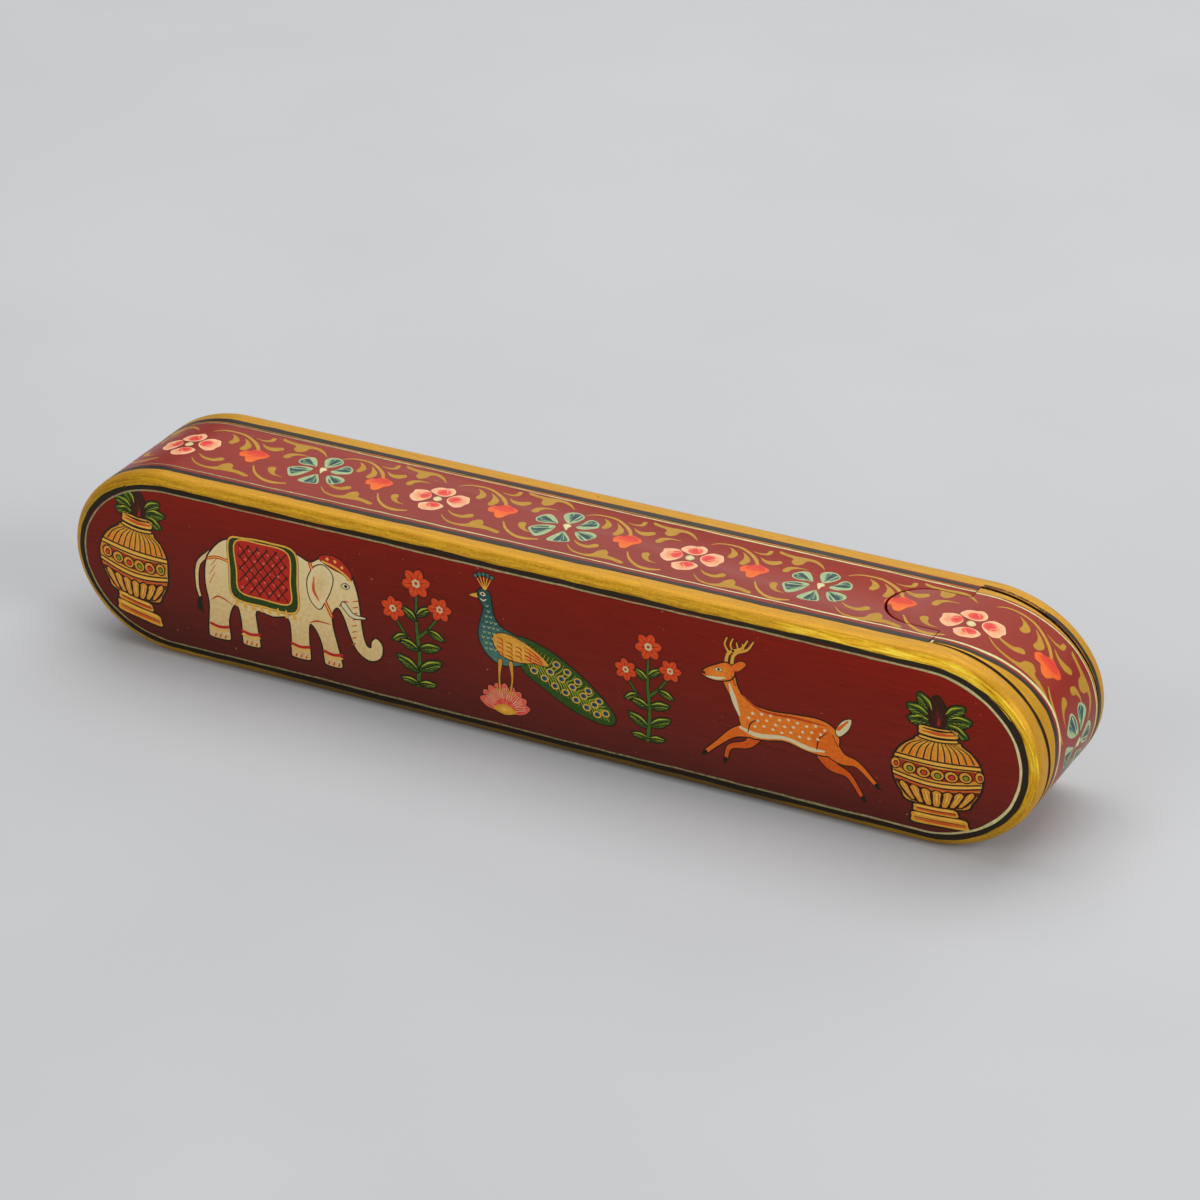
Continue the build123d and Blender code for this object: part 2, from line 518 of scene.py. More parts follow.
def make_gilding():
    """Gold paint: even and warm on the side, streaked with yellow towards the face, with a painted highlight
    round the upper right end and painted shade underneath.
    """
    material, tree, shader = start_material(
        "gilding", {"Roughness": 0.4, "Metallic": 0.3, "Specular Tint": VARNISH})
    path = place_node(tree, "path")
    place = place_node(tree)
    streaks = placed(tree, brush_marks, path, 2.4, (0.06, 0.06, 1), 5.0)
    patches = placed(tree, brush_marks, path, 0.9, (0.5, 0.5, 1))
    grain = placed(tree, brush_marks, place, 1500.0)
    texture = mixed(tree, 0.4, streaks["Mask"], grain["Mask"])
    strokes = mixed(tree, 0.12, streaks["Mask"], grain["Mask"])
    # Painted highlight: brighter, yellower gold where the path points to the upper right end
    direction = [part / PATH_RADIUS for part in (*HIGHLIGHT_AIM, 0.0)]
    near = add_node(tree, "ShaderNodeVectorMath", [(0, path), (1, direction)], operation="DOT_PRODUCT")
    front = mixed(tree, spread(tree, near.outputs["Value"], HIGHLIGHT_FROM, HIGHLIGHT_TO),
                  ramp_node(tree, texture, PLAIN_GOLD), ramp_node(tree, strokes, HIGHLIGHT_GOLD))
    wander = calculated(tree, "MULTIPLY_ADD", patches["Broad"], 0.5, part_of(tree, path, "Z"))
    facet = spread(tree, wander, FACET_BORDER, FACET_BORDER + FACET_BLEND)
    gold = mixed(tree, facet, ramp_node(tree, texture, SIDE_GOLD), front)
    # Painted shade: the gold darkens along the underside of the box
    below = spread(tree, part_of(tree, path, "X"), UNDERSIDE_SHADE_FROM * PATH_RADIUS, UNDERSIDE_SHADE_TO * PATH_RADIUS, 0.8)
    gold = mixed(tree, below, gold, colour(*UNDERSIDE_SHADE))
    holes = placed(tree, specks, place, 420.0, 0.755)
    complete(tree, shader, mixed(tree, holes["Mask"], gold, colour(*HOLE)), texture, 0.00006)
    return material


FINISHES["gilding"] = make_gilding(), "gilding"
print("finish: gilding")


# %% Paints
PAINTS = {  # the slot of each, and its dark, middle and light tone
    "gold": ("gold_paint", (152, 108, 18), (178, 132, 32), (200, 157, 52)),
    "black": ("black_paint", (14, 10, 8), (22, 17, 13), (38, 32, 27)),
    "pale": ("cream_paint", (92, 92, 62), (186, 174, 122), (230, 222, 164)),
    "peach": ("pink_paint", (214, 74, 54), (224, 140, 94), (238, 192, 150)),
    "rose": ("pink_paint", (206, 30, 34), (222, 66, 58), (228, 116, 88)),
    "mint": ("teal_paint", (92, 128, 104), (138, 164, 118), (178, 190, 140)),
    "teal": ("teal_paint", (10, 50, 56), (26, 80, 80), (84, 130, 114)),
    "orange": ("orange_paint", (206, 36, 30), (222, 72, 22), (232, 112, 20)),
    "cream": ("cream_paint", (186, 160, 96), (210, 196, 146), (226, 214, 170)),
    "ochre": ("gold_paint", (184, 106, 24), (222, 154, 50), (244, 192, 84)),
    "rust": ("orange_paint", (150, 36, 16), (190, 62, 22), (216, 98, 38)),
    "maroon": ("black_paint", (34, 10, 6), (58, 16, 9), (96, 28, 14)),
    "wine": ("black_paint", (34, 8, 10), (58, 12, 14), (92, 18, 20)),
    "red": ("orange_paint", (160, 22, 22), (192, 34, 26), (216, 60, 44)),
    "green": ("green_paint", (18, 40, 14), (42, 76, 22), (86, 118, 38)),
    "lime": ("green_paint", (120, 138, 30), (164, 170, 42), (210, 200, 76)),
    "fur": ("orange_paint", (200, 64, 14), (230, 108, 24), (244, 160, 56)),
    "hide": ("cream_paint", (196, 152, 92), (230, 200, 140), (244, 226, 178)),
    "blue": ("teal_paint", (12, 30, 66), (22, 48, 96), (44, 78, 126)),
    "bare": ("bare_wood", (40, 20, 8), (92, 52, 18), (168, 116, 44)),
    "grime": ("black_paint", (16, 9, 4), (30, 17, 7), (60, 36, 14)),
}
WEAR_AND_SHADE_NAMES = {"bare": "worn_edge", "grime": "grime"}


def make_paint(paint, slot, tones):
    """A brushed paint whose colour follows the "shade" of each shape and wavers a little."""
    ragged = 1.1 if paint == "bare" else 0.25
    material, tree, shader = start_material(
        WEAR_AND_SHADE_NAMES.get(paint, paint + "_paint"),
        {"Roughness": 0.6 if paint in WEAR_AND_SHADE_NAMES else 0.38, "Metallic": 0.1 if slot == "gold_paint" else 0.0,
         "Specular IOR Level": 0.3, "Specular Tint": VARNISH})
    shade = add_node(tree, "ShaderNodeAttribute", attribute_name="shade").outputs["Fac"]
    marks = placed(tree, brush_marks, place_node(tree), 1100.0, (1, 1, 1), 3.0)["Mask"]
    moved = calculated(tree, "MULTIPLY_ADD", marks, ragged, -ragged / 2)
    total = calculated(tree, "ADD", shade, moved, use_clamp=True)
    complete(tree, shader, ramp_node(tree, total, tones), marks, 0.000012)
    return material


for paint, (slot, *tones) in PAINTS.items():
    FINISHES[paint] = make_paint(paint, slot, tones), slot
print("paints:", ", ".join(PAINTS))

# %% [markdown]
# ## The lacquered wood
#
# The frame's solids are exact, but their curved sides are made of flat facets, and gloss shows every one.
# So the six painted pieces are lofted again from the same outline, with many more steps round the bends,
# and lie a few hundredths of a millimetre inside the solids they stand for. A face board is a stack of
# rings: up its side, round its edge, and a little way onto the face, where a last ring keeps the flat
# part's shading flat.

# %% Face boards
ROUNDING_STEPS = 8
FLAT_RING = 0.4
EASED_EDGE = 0.14
EASED_ANGLE = radians(50)
FLAT = 0.9999  # a face whose normal is this close to an axis is flat


def ease(mesh, touches):
    """Breaks the edges of a mesh whose two ends both pass a test, and keeps its flats flat."""
    work = bmesh.new()
    work.from_mesh(mesh)
    edges = [edge for edge in work.edges
             if edge.calc_face_angle(0) > EASED_ANGLE and all(touches(end.co / MM) for end in edge.verts)]
    bmesh.ops.bevel(work, geom=edges, offset=EASED_EDGE * MM, segments=2, profile=0.6, affect="EDGES")
    work.to_mesh(mesh)
    work.free()
    rounded = [max(abs(part) for part in face.normal) < FLAT for face in mesh.polygons]
    mesh.polygons.foreach_set("use_smooth", rounded)
    mesh.set_sharp_from_angle(angle=EASED_ANGLE)


def lacquered(node, points, faces, finish="lacquer", body="case", smooth_below=40.0, eased=None):
    """Adds a lacquered piece in place of a node of the frame. Edges that pass the test are eased."""
    name = node + "_lacquered"
    mesh = finish_mesh(name, points, faces, smooth_below)
    if eased:
        ease(mesh, eased)
    add_piece(name, mesh, finish, body, [node])


def board_rings(surface):
    """The rings of a face board, from its inner face to its outer face."""
    across = [0.0, SIDE_WIDTH]
    across += [SIDE_WIDTH + ROUNDING_WIDTH * step / ROUNDING_STEPS for step in range(1, ROUNDING_STEPS + 1)]
    across.append(across[-1] + FLAT_RING)
    return [[surface(along, v, GROUND) for along in stations(-ROUND / 2, ROUND / 2)[:-1]] for v in across]


lacquered("front_board", *loft(board_rings(front_edge)), "face_lacquer")
lacquered("back_board", *loft(board_rings(back_edge)))

# %% [markdown]
# The rails and the two end blocks fill the space between the boards. The round notch in a rail and the
# tongue that lies in it are the box's only visible mechanism, so their edges are slightly broken, as sanded
# wood is, and the seam between them shows as a fine dark line.

# %% Rails and end blocks
TIP_STEPS = 20


def half_round(radius, tip_x, end_x):
    """The outline of a strip along X with a round tip, from corner to corner of its square end."""
    centre_x = tip_x + radius
    points = [(end_x, radius)]
    for step in range(TIP_STEPS + 1):
        angle = pi / 2 + pi * step / TIP_STEPS
        points.append((centre_x + radius * cos(angle), radius * sin(angle)))
    return points + [(end_x, -radius)]


def slab(plan, *heights):
    """The points and faces of a slab between two heights."""
    return loft([[(x, y, z) for x, y in plan] for z in heights])


for node, up in (("top_rail", 1), ("bottom_rail", -1)):
    plan = [(RAIL_END_X, SEAM_Y), (rail_low.x, SEAM_Y), (rail_low.x, -SEAM_Y), (RAIL_END_X, -SEAM_Y)]
    plan += half_round(NOTCH_RADIUS, NOTCH_TIP_X, RAIL_END_X)[::-1]
    outer = MIDDLE_Z + up * (HALF_HEIGHT + GROUND)

    def on_notch(place):
        return abs(place.z - outer) < SAME and place.x > NOTCH_TIP_X - 0.1 and abs(place.y) < SEAM_Y - 0.1

    lacquered(node, *slab(plan, MIDDLE_Z + up * (RAIL_LOW_Z - MIDDLE_Z), outer), eased=on_notch)


def end_ring(side, inset, shoulder_x, y):
    """One ring of an end block: round its end and back along its shoulder."""
    reach = END_MIDDLE + (END_MIDDLE - shoulder_x)
    ring = [on_band(side * along, y, -inset) for along in stations(shoulder_x, reach)]
    low_z = MIDDLE_Z - HALF_HEIGHT + inset
    high_z = MIDDLE_Z + HALF_HEIGHT - inset
    return ring + [(side * shoulder_x, y, low_z + (high_z - low_z) * step / 4) for step in (1, 2, 3)]


lacquered("left_end_block", *loft([end_ring(-1, -GROUND, -rail_low.x, y) for y in (-SEAM_Y, SEAM_Y)]))

half_profile = [(BLOCK_Y, SEAM_ROUNDING), (BLOCK_Y - SEAM_BEND, SEAM_BEND), (BLOCK_Y - SEAM_ROUNDING, 0.0),
                (BLOCK_Y - SEAM_ROUNDING - 0.2, 0.0)]
profile = [(-y, inset) for y, inset in half_profile] + half_profile[::-1]
block_points, block_faces = loft([end_ring(1, inset - GROUND, SHOULDER_X, y) for y, inset in profile])
for heights in ((TONGUE_LOW_Z, 2 * MIDDLE_Z + GROUND), (2 * MIDDLE_Z - TONGUE_LOW_Z, -GROUND)):
    points, faces = slab(half_round(TONGUE_RADIUS, TONGUE_TIP_X, SHOULDER_X), *heights)
    first = len(block_points)
    block_points += points
    block_faces += [tuple(index + first for index in face) for face in faces]


def on_tongue(place):
    return place.x < SHOULDER_X - 0.1 and abs(place.z - MIDDLE_Z) > HALF_HEIGHT - 1


lacquered("tray_end_block", block_points, block_faces, "lacquer", "tray", 50, on_tongue)

# %% [markdown]
# ## Gilded edges
#
# Gold paint covers the side and the rounding of each board, up to the border lines. It is a thin skin of its
# own, with the uneven surface of a thick brushed coat, because the eye reads an edge by its highlight. Its
# inner border lies under the black line.

# %% Gilding skins
GILDED_INSET = 2.7  # how far the gold reaches onto the face, under the black line
SKIN_DEPTH = 0.3
SKIN_STEPS = 14
ALL_ROUND = (-ROUND / 2, ROUND / 2)
TRAY_REACH = SHOULDER_X + END_LENGTH + 2 * (STRAIGHT - SHOULDER_X)  # where the tray's end block ends, below
WORN_START, WORN_END = RAIL_END_X + 0.4, STRAIGHT + 15.0


def coat(name, start, end, section, finish, body, smooth_below=60, shading=None):
    """A thin closed coat along the outline. Its section gives lines of (place across, top, underside)."""
    whole = end - start > ROUND - SAME
    rings, path = [], []
    for along in stations(start, end, 1.6, 0.8)[:-1 if whole else None]:
        lines = section(along)
        rings.append([top for _, top, _ in lines] + [under for _, _, under in lines[::-1]])
        path += [round_path(along, v) for v, _, _ in lines + lines[::-1]]
    mesh = finish_mesh(name, *loft(rings, whole), smooth_below)
    set_path(mesh, path)
    if shading:
        set_shade(mesh, [shading(place) for place in path])
    add_piece(name, mesh, finish, body)


def right_share(along):
    """0 at the left end of the top, growing to 1 at its right end."""
    x = outline(along)[0]
    return min(1.0, max(0.0, (x + STRAIGHT) / (2 * STRAIGHT)))


def gold_start(along, side):
    """Where the gold begins on a board's side, measured from its seam."""
    if SHOULDER_X < along < TRAY_REACH:
        return 0.03
    return 1.6 - 1.3 * right_share(along) if side < 0 else 0.0


def gilding_section(along, side):
    """The section of the gold on a board's edge, a little uneven on top."""
    start = gold_start(along, side)
    reach = face_inset(GILDED_INSET)
    lines = []
    for step in range(SKIN_STEPS + 1):
        v = start + (reach - start) * step / SKIN_STEPS
        wave = unsteady(along, 3 + v * 0.15, 0.012) + 0.004 * sin(5.1 * v + 0.4 * along)
        lines.append((v, on_edge(along, v, GILDING + max(-0.012, min(0.016, wave)), side),
                      on_edge(along, v, GILDING - SKIN_DEPTH, side)))
    return lines


coat("front_gilding", *ALL_ROUND, partial(gilding_section, side=-1), "gilding", "case")
coat("back_gilding", *ALL_ROUND, partial(gilding_section, side=1), "gilding", "case")

# %% [markdown]
# ## Border lines
#
# A black line and a thin pale line run along every border, drawn in one pull of the brush. They wander a
# little, and swell and thin out. Each is a loft of small crowned cross-sections along the outline. The
# lines on the band are cut where the tray's end block begins, so that they part when the tray slides out.

# %% Ribbons of paint
CROWN = 0.006  # how much thicker a line is in its middle
WANDER = 0.14  # how far a line strays to either side
SWELLING = 0.28  # by which part of it its width changes
THINNEST = 0.08


def line_shade(place):
    """A line's shade: darker below than above as painted shade, and lighter at the right and darker at the
    left.
    """
    x, y, _ = place
    return max(0.0, 0.38 + (0.3 * x + 0.32 * y) / PATH_RADIUS)


def face_line_shade(place):
    """The pale line on a face is dull, a little darker below as painted shade, and only bright round the
    right end.
    """
    x, y, _ = place
    return 0.22 + 0.1 * x / PATH_RADIUS + 0.6 * max(0.0, y / PATH_RADIUS) ** 10


def ribbon(name, start, end, middle, width, surface, paint, body, seed, shading=line_shade, height=LINES):
    """A painted line along the outline; middle and width are functions of the distance."""
    def section(along):
        centre = middle(along) + unsteady(along, seed, WANDER)
        half = max(THINNEST, width(along) * (1 + unsteady(along, seed + 2, SWELLING))) / 2
        return [(v, surface(along, v, height + crown), surface(along, v, ROOT))
                for v, crown in ((centre - half, 0), (centre, CROWN), (centre + half, 0))]

    coat(name, start, end, section, paint, body, 50, shading)


def right_end(along):
    """0 away from the right rounded end, and 1 in the middle of it."""
    angle = end_angle(along - STRAIGHT) if STRAIGHT < along < STRAIGHT + END_LENGTH else 0.0
    return sin(angle)


def swelling(width, more):
    """The width of a line that is so much wider in the middle of the right end."""
    return lambda along: width + more * right_end(along)


def drift(left, right):
    """A place across the band that drifts evenly from left to right."""
    return lambda along: left + (right - left) * right_share(along)


def even(width):
    """The same width, place or shade all along."""
    return lambda along: width


for board, surface, seed in (("front", front_edge, 1), ("back", back_edge, 5)):
    ribbon(f"{board}_black_line", *ALL_ROUND, even(face_inset(2.9)), swelling(1.1, 0.5), surface, "black",
           "case", seed)
    ribbon(f"{board}_pale_line", *ALL_ROUND, lambda along: face_inset(3.75 + 0.25 * right_end(along)),
           lambda along: 0.34 + 0.08 * right_share(along) + 0.28 * right_end(along), surface, "pale", "case",
           seed + 1, face_line_shade, LINES + 0.004)

# %% The band's border lines
CASE_SPAN = (TRAY_REACH + SHOULDER_X - RAIL_END_X - ROUND, RAIL_END_X)
TRAY_SPAN = (SHOULDER_X, TRAY_REACH)
LOADED_BRUSH = 104.0  # where the pale line in front is laid on thick
BLACK_ANGLES = (0, 10, 21, 28, 40, 52, 64, 76, 86, 99, 130, 160, 180)
BLACK_PLACES = (-12.7, -12.3, -11.8, -11.2, -10.1, -9.3, -8.75, -9.1, -9.8, -10.6, -11.6, -12.4, -12.7)


def end_black(along):
    """The middle of the black line on the tray's end block, which swings inwards round the end."""
    angle = degrees(end_angle(along - STRAIGHT)) if along > STRAIGHT else 0.0
    return float(np.interp(angle, BLACK_ANGLES, BLACK_PLACES))


def end_pale_width(along):
    return 0.4 + 0.45 * right_end(along) + 0.3 * exp(-((along - LOADED_BRUSH) / 5) ** 2)


rear_pale = swelling(10.5, 2.0)
CASE_LINES = {  # the middle, width and seed of each; its name ends in its paint
    "front_black": (drift(-14.8, -13.4), even(1.5), 2),
    "front_pale": (drift(-12.95, -11.35), even(0.34), 4),
    "rear_pale": (drift(11.25, 10.95), even(0.36), 6),
    "rear_gold": (drift(11.85, 11.6), even(0.2), 7),
    "rear_black": (drift(12.85, 12.75), even(1.55), 8),
}
TRAY_LINES = {
    "front_black": (end_black, swelling(0.75, 0.75), 2),
    "front_pale": (lambda along: end_black(along) + 1.35 + 0.65 * right_end(along), end_pale_width, 4),
    "rear_pale": (rear_pale, even(0.42), 6),
    "rear_gold": (lambda along: rear_pale(along) + 0.62, even(0.3), 7),
}
for prefix, body, span, lines in (
        ("band", "case", CASE_SPAN, CASE_LINES), ("tray", "tray", TRAY_SPAN, TRAY_LINES)):
    for name, (middle, width, seed) in lines.items():
        ribbon(f"{prefix}_{name}_line", *span, middle, width, on_band, name.split("_")[1], body, seed)

# %% [markdown]
# On the tray's end block gold paint also fills the strip beside the front seam, and the seam itself is
# painted dark, partly as painted shade and partly as dirt, so that it is a dark line with gold on both
# sides. Behind it is the same, and there the board's edge is worn through to brown wood for a few
# centimetres; further on a black line follows the seam.

# %% Gold and wear beside the seam
def seam_inset(y):
    """How far the end block's eased edge falls back at a place across it."""
    return float(np.interp(BLOCK_Y - abs(y), (0.0, SEAM_BEND, SEAM_ROUNDING), (SEAM_ROUNDING, SEAM_BEND, 0)))


def seam_strip(name, start, end, outer, inner, finish, side=-1, height=GILDING):
    """Paint on the end block between two places across it, both measured from its middle."""
    def section(along):
        far, near = outer(along), abs(inner(along))
        bend = min(max(near + 0.02, BLOCK_Y - SEAM_ROUNDING), far - 0.02)
        corner = BLOCK_Y - SEAM_BEND
        across = [far, corner if bend < corner < far else (far + bend) / 2, bend, near]
        return [(y - near, on_band(along, side * y, height - seam_inset(y)),
                 on_band(along, side * y, ROOT - 0.2 - seam_inset(y))) for y in across]

    coat(name, start, end, section, finish, "tray", shading=lambda place: 0.35 + 0.1 * place[2])


def seam_shade_edge(along):
    """Where the painted shade and dirt in the seam stop."""
    return BLOCK_Y - 0.22 - 0.38 * right_end(along) + unsteady(along, 12, 0.08)


block_edge = even(BLOCK_Y - 0.02)
OVER_GILDING = GILDING + 0.012
# Painted shade and dirt beside the front seam: a near-black coat on the end block's eased edge and a thin
# dark line on the board
seam_strip("tray_front_grime", *TRAY_SPAN, block_edge, lambda along: seam_shade_edge(along) - 0.1, "grime")
seam_strip("tray_front_gilding", *TRAY_SPAN, seam_shade_edge, end_black, "gilding", height=OVER_GILDING)
seam_strip("tray_rear_gilding", *TRAY_SPAN, block_edge, lambda along: rear_pale(along) + 0.8, "gilding", 1)
seam_strip("tray_rear_grime", SHOULDER_X + 1.5, WORN_END, block_edge,
           lambda along: 12.9 + unsteady(along, 15, 0.15), "bare", 1, OVER_GILDING)
ribbon("front_grime", *TRAY_SPAN, even(0.1), swelling(0.18, 0.14), front_edge, "grime", "case", 11)
ribbon("shoulder_chip", SHOULDER_X + 0.1, SHOULDER_X + 0.6, even(-13.4), even(1.0), on_band, "cream", "tray",
       2, even(0.3), LINES + 0.01)
ribbon("back_worn_edge", WORN_START, WORN_END, even(0.5), lambda along: 0.85 + unsteady(along, 6, 0.2),
       back_edge, "bare", "case", 3, even(0.4))
ribbon("rear_black_end_line", WORN_END - 5.0, STRAIGHT + END_LENGTH - 6, even(0.65),
       lambda along: min(1.1, 0.2 * (along - WORN_END + 5.5)), back_edge, "black", "case", 9)

# Painted shade: the boards' inner faces are painted near black in front and dark brown behind, where they
# show through the gap beside the tray's end block
gap_shade_section = [(SEAM_Y - 0.06, -0.1), (SEAM_Y - 0.06, -1.6), (SEAM_Y + 0.1, -1.6), (SEAM_Y + 0.1, -0.1)]
for name, side, paint in (("front_seam_dirt", -1, "grime"), ("rear_seam_dirt", 1, "bare")):
    rings = [[on_band(along, side * y, height) for y, height in gap_shade_section]
             for along in stations(*TRAY_SPAN, 1.6, 0.8)]
    add_piece(name, finish_mesh(name, *loft(rings)), paint, "case")

# %% [markdown]
# ## Painting on the flat
#
# Flowers, leaves and vases are drawn on the flat first, in the way they are painted: filled shapes and
# brush strokes in layers, each a few thousandths of a millimetre over the one before. A stroke is a
# smooth curve whose width swells and tapers. A fill is a smooth closed curve, with an inner ring that lets
# its colour change from the edge to the heart. Later the flat drawing is laid on its surface.

# %% Flat painting
CURVE_STEPS = 5
LEVEL = 0.006  # the thickness of one layer of paint
HAIRS = 8  # shapes of one layer differ by a tenth of it, so that none share a plane
BROAD_END = 0.35  # a stroke that ends broader than this has a rounded end


def smooth_curve(points, closed=False, steps=CURVE_STEPS):
    """A Catmull-Rom curve through points of any number of dimensions."""
    places = [np.array(point, float) for point in points]
    if closed:
        padded = [places[-1], *places, *places[:2]]
    else:
        padded = [2 * places[0] - places[1], *places, 2 * places[-1] - places[-2]]
    result = []
    for before, here, ahead, after in zip(padded, padded[1:], padded[2:], padded[3:]):
        for step in range(steps):
            t = step / steps
            result.append(0.5 * (2 * here + (ahead - before) * t
                                 + (2 * before - 5 * here + 4 * ahead - after) * t * t
                                 + (3 * here - before - 3 * ahead + after) * t ** 3))
    if not closed:
        result.append(places[-1])
    return result


def turned(points, angle=0.0, scale=1.0, move=(0.0, 0.0)):
    """Points turned by an angle in degrees, scaled and moved on the flat."""
    cosine, sine = cos(radians(angle)) * scale, sin(radians(angle)) * scale
    return [(cosine * x - sine * y + move[0], sine * x + cosine * y + move[1]) for x, y in points]


def is_left_turn(a, b, c):
    return (b[0] - a[0]) * (c[1] - a[1]) - (b[1] - a[1]) * (c[0] - a[0]) > 0


class Painting:
    """Flat brush work in millimetres. Every colour keeps its own list of closed shapes."""

    def __init__(self):
        self.shapes = {}
        self.count = 0
        self.put()

    def put(self, angle=0.0, scale=(1.0, 1.0), move=(0.0, 0.0), lean=0.0, fall=0.0):
        """What is drawn from here on leans and falls to the right, and is scaled, turned and moved."""
        self.angle, self.scale, self.move, self.lean, self.fall = angle, scale, move, lean, fall

    def add(self, paint, level, points, faces, shades):
        """Keeps a shape, a hair higher than the one before."""
        self.count += 1
        wide, tall = self.scale
        points = [(wide * (x + self.lean * max(0.0, y)), tall * (y - self.fall * x)) for x, y in points]
        points = turned(points, self.angle, 1.0, self.move)
        self.shapes.setdefault(paint, []).append((points, faces, shades, level + self.count % HAIRS / 10))

    def fill(self, paint, level, points, edge=0.5, heart=None, foot=None, steps=CURVE_STEPS, sharp=False):
        """A closed shape. Its shade goes from the edge to the heart, or from the top to the foot."""
        rim = points if sharp else [tuple(point) for point in smooth_curve(points, True, steps)]
        area = sum(a[0] * b[1] - b[0] * a[1] for a, b in zip(rim, rim[1:] + rim[:1]))
        if area < 0:
            rim = rim[::-1]
        count = len(rim)
        if heart is None:
            faces = tessellate_polygon([[Vector((x, y, 0)) for x, y in rim]])
            faces = [face if is_left_turn(*(rim[i] for i in face)) else face[::-1] for face in faces]
            top, low = max(y for _, y in rim), min(y for _, y in rim)
            fall = 0.0 if foot is None else foot - edge
            self.add(paint, level, rim, faces, [edge + fall * (top - y) / (top - low) for _, y in rim])
            return
        centre = np.mean(np.array(rim), axis=0)
        inner = [tuple(centre + (np.array(point) - centre) * 0.5) for point in rim]
        faces = [(i, (i + 1) % count, count + (i + 1) % count, count + i) for i in range(count)]
        faces += [(count + i, count + (i + 1) % count, 2 * count) for i in range(count)]
        self.add(paint, level, rim + inner + [tuple(centre)], faces,
                 [edge] * count + [(edge + heart) / 2] * count + [heart])

    def dot(self, paint, level, centre, radius, squash=1.0, edge=0.5, heart=None):
        """A round or oval dot."""
        rim = [(centre[0] + radius * cos(turn), centre[1] + radius * squash * sin(turn))
               for turn in np.linspace(0, 2 * pi, 13)[:-1]]
        self.fill(paint, level, rim, edge, heart, sharp=True)

    def stroke(self, paint, level, points, widths, shade=0.5, steps=CURVE_STEPS, closed=False):
        """A brush stroke through points, its widths spread evenly along it. Broad ends are rounded."""
        if isinstance(widths, (int, float)):
            widths = (widths, widths)
        wide = np.interp(np.linspace(0, 1, len(points)), np.linspace(0, 1, len(widths)), widths)
        line = smooth_curve([(x, y, width) for (x, y), width in zip(points, wide)], closed, steps)
        count = len(line)
        legs = [Vector(ahead[:2]) - Vector(here[:2]) for here, ahead in zip(line, line[1:] + line[:1])]
        sides = [[], []]
        for index, (x, y, width) in enumerate(line):
            arriving = legs[index - 1 if closed or index else 0]
            leaving = legs[index if closed or index < count - 1 else -2]
            along = (arriving + leaving).normalized()
            bend = arriving.angle_signed(leaving, 0.0)
            room = 0.45 * (arriving.length + leaving.length) / max(abs(bend), 1e-4)
            for side, points_beside in ((1, sides[0]), (-1, sides[1])):
                half = max(0.03, width) / 2
                if bend * side < 0:
                    half = min(half, max(room, 0.02))
                points_beside.append((x - side * along.y * half, y + side * along.x * half))
        spans = count if closed else count - 1
        faces = [(count + i, count + (i + 1) % count, (i + 1) % count, i) for i in range(spans)]
        points = sides[0] + sides[1]
        for end, near, far in ((0, 0, count), (count - 1, 2 * count - 1, count - 1)):
            if not closed and line[end][2] > BROAD_END:
                middle = (Vector(points[near]) + Vector(points[far])) / 2
                arm = Vector(points[near]) - middle
                first = len(points)
                points += [tuple(middle + Matrix.Rotation(radians(turn), 2) @ arm) for turn in (45, 90, 135)]
                faces.append((far, near, first, first + 1, first + 2))
        self.add(paint, level, points, faces, [shade] * len(points))

    def inked_fill(self, paint, level, points, edge=0.5, heart=None, foot=None, ink=0.7, steps=CURVE_STEPS):
        """A filled shape with a black line round it."""
        self.stroke("black", level, points, ink, closed=True, steps=steps)
        self.fill(paint, level + 1, points, edge, heart, foot, steps)

    def inked_stroke(self, paint, level, points, widths, shade=0.5, ink=0.6):
        """A brush stroke with a black line on both sides."""
        widths = (widths, widths) if isinstance(widths, (int, float)) else widths
        self.stroke("black", level, points, tuple(width + ink for width in widths))
        self.stroke(paint, level + 1, points, widths, shade)


def flat_mesh(name, shapes):
    """One flat mesh of all the shapes of a colour. Z holds the level of each, in millimetres."""
    points, faces, shades = [], [], []
    for shape_points, shape_faces, shape_shades, level in shapes:
        first = len(points)
        points += [(x, y, level * LEVEL) for x, y in shape_points]
        faces += [tuple(index + first for index in face) for face in shape_faces]
        shades += shape_shades
    mesh = bpy.data.meshes.new(name)
    mesh.from_pydata(points, [], faces)
    set_shade(mesh, shades)
    return mesh


# %% [markdown]
# To lay a flat drawing on a surface, each shape gets a top at its own level, an underside inside the wood
# and walls between them, so that it is a closed solid.

# %% Laying a drawing on a surface
def cut_across(work, faces, u, direction=(1, 0), v=0.0):
    """Cuts some faces of a flat mesh along the line through (u, v), square to the direction."""
    geometry = list(faces) + list({edge for face in faces for edge in face.edges})
    geometry += list({corner for face in faces for corner in face.verts})
    result = bmesh.ops.bisect_plane(
        work, geom=geometry, dist=1e-5, plane_co=(u, v, 0), plane_no=(direction[0], direction[1], 0))
    return [item for item in result["geom"] if isinstance(item, bmesh.types.BMFace)]


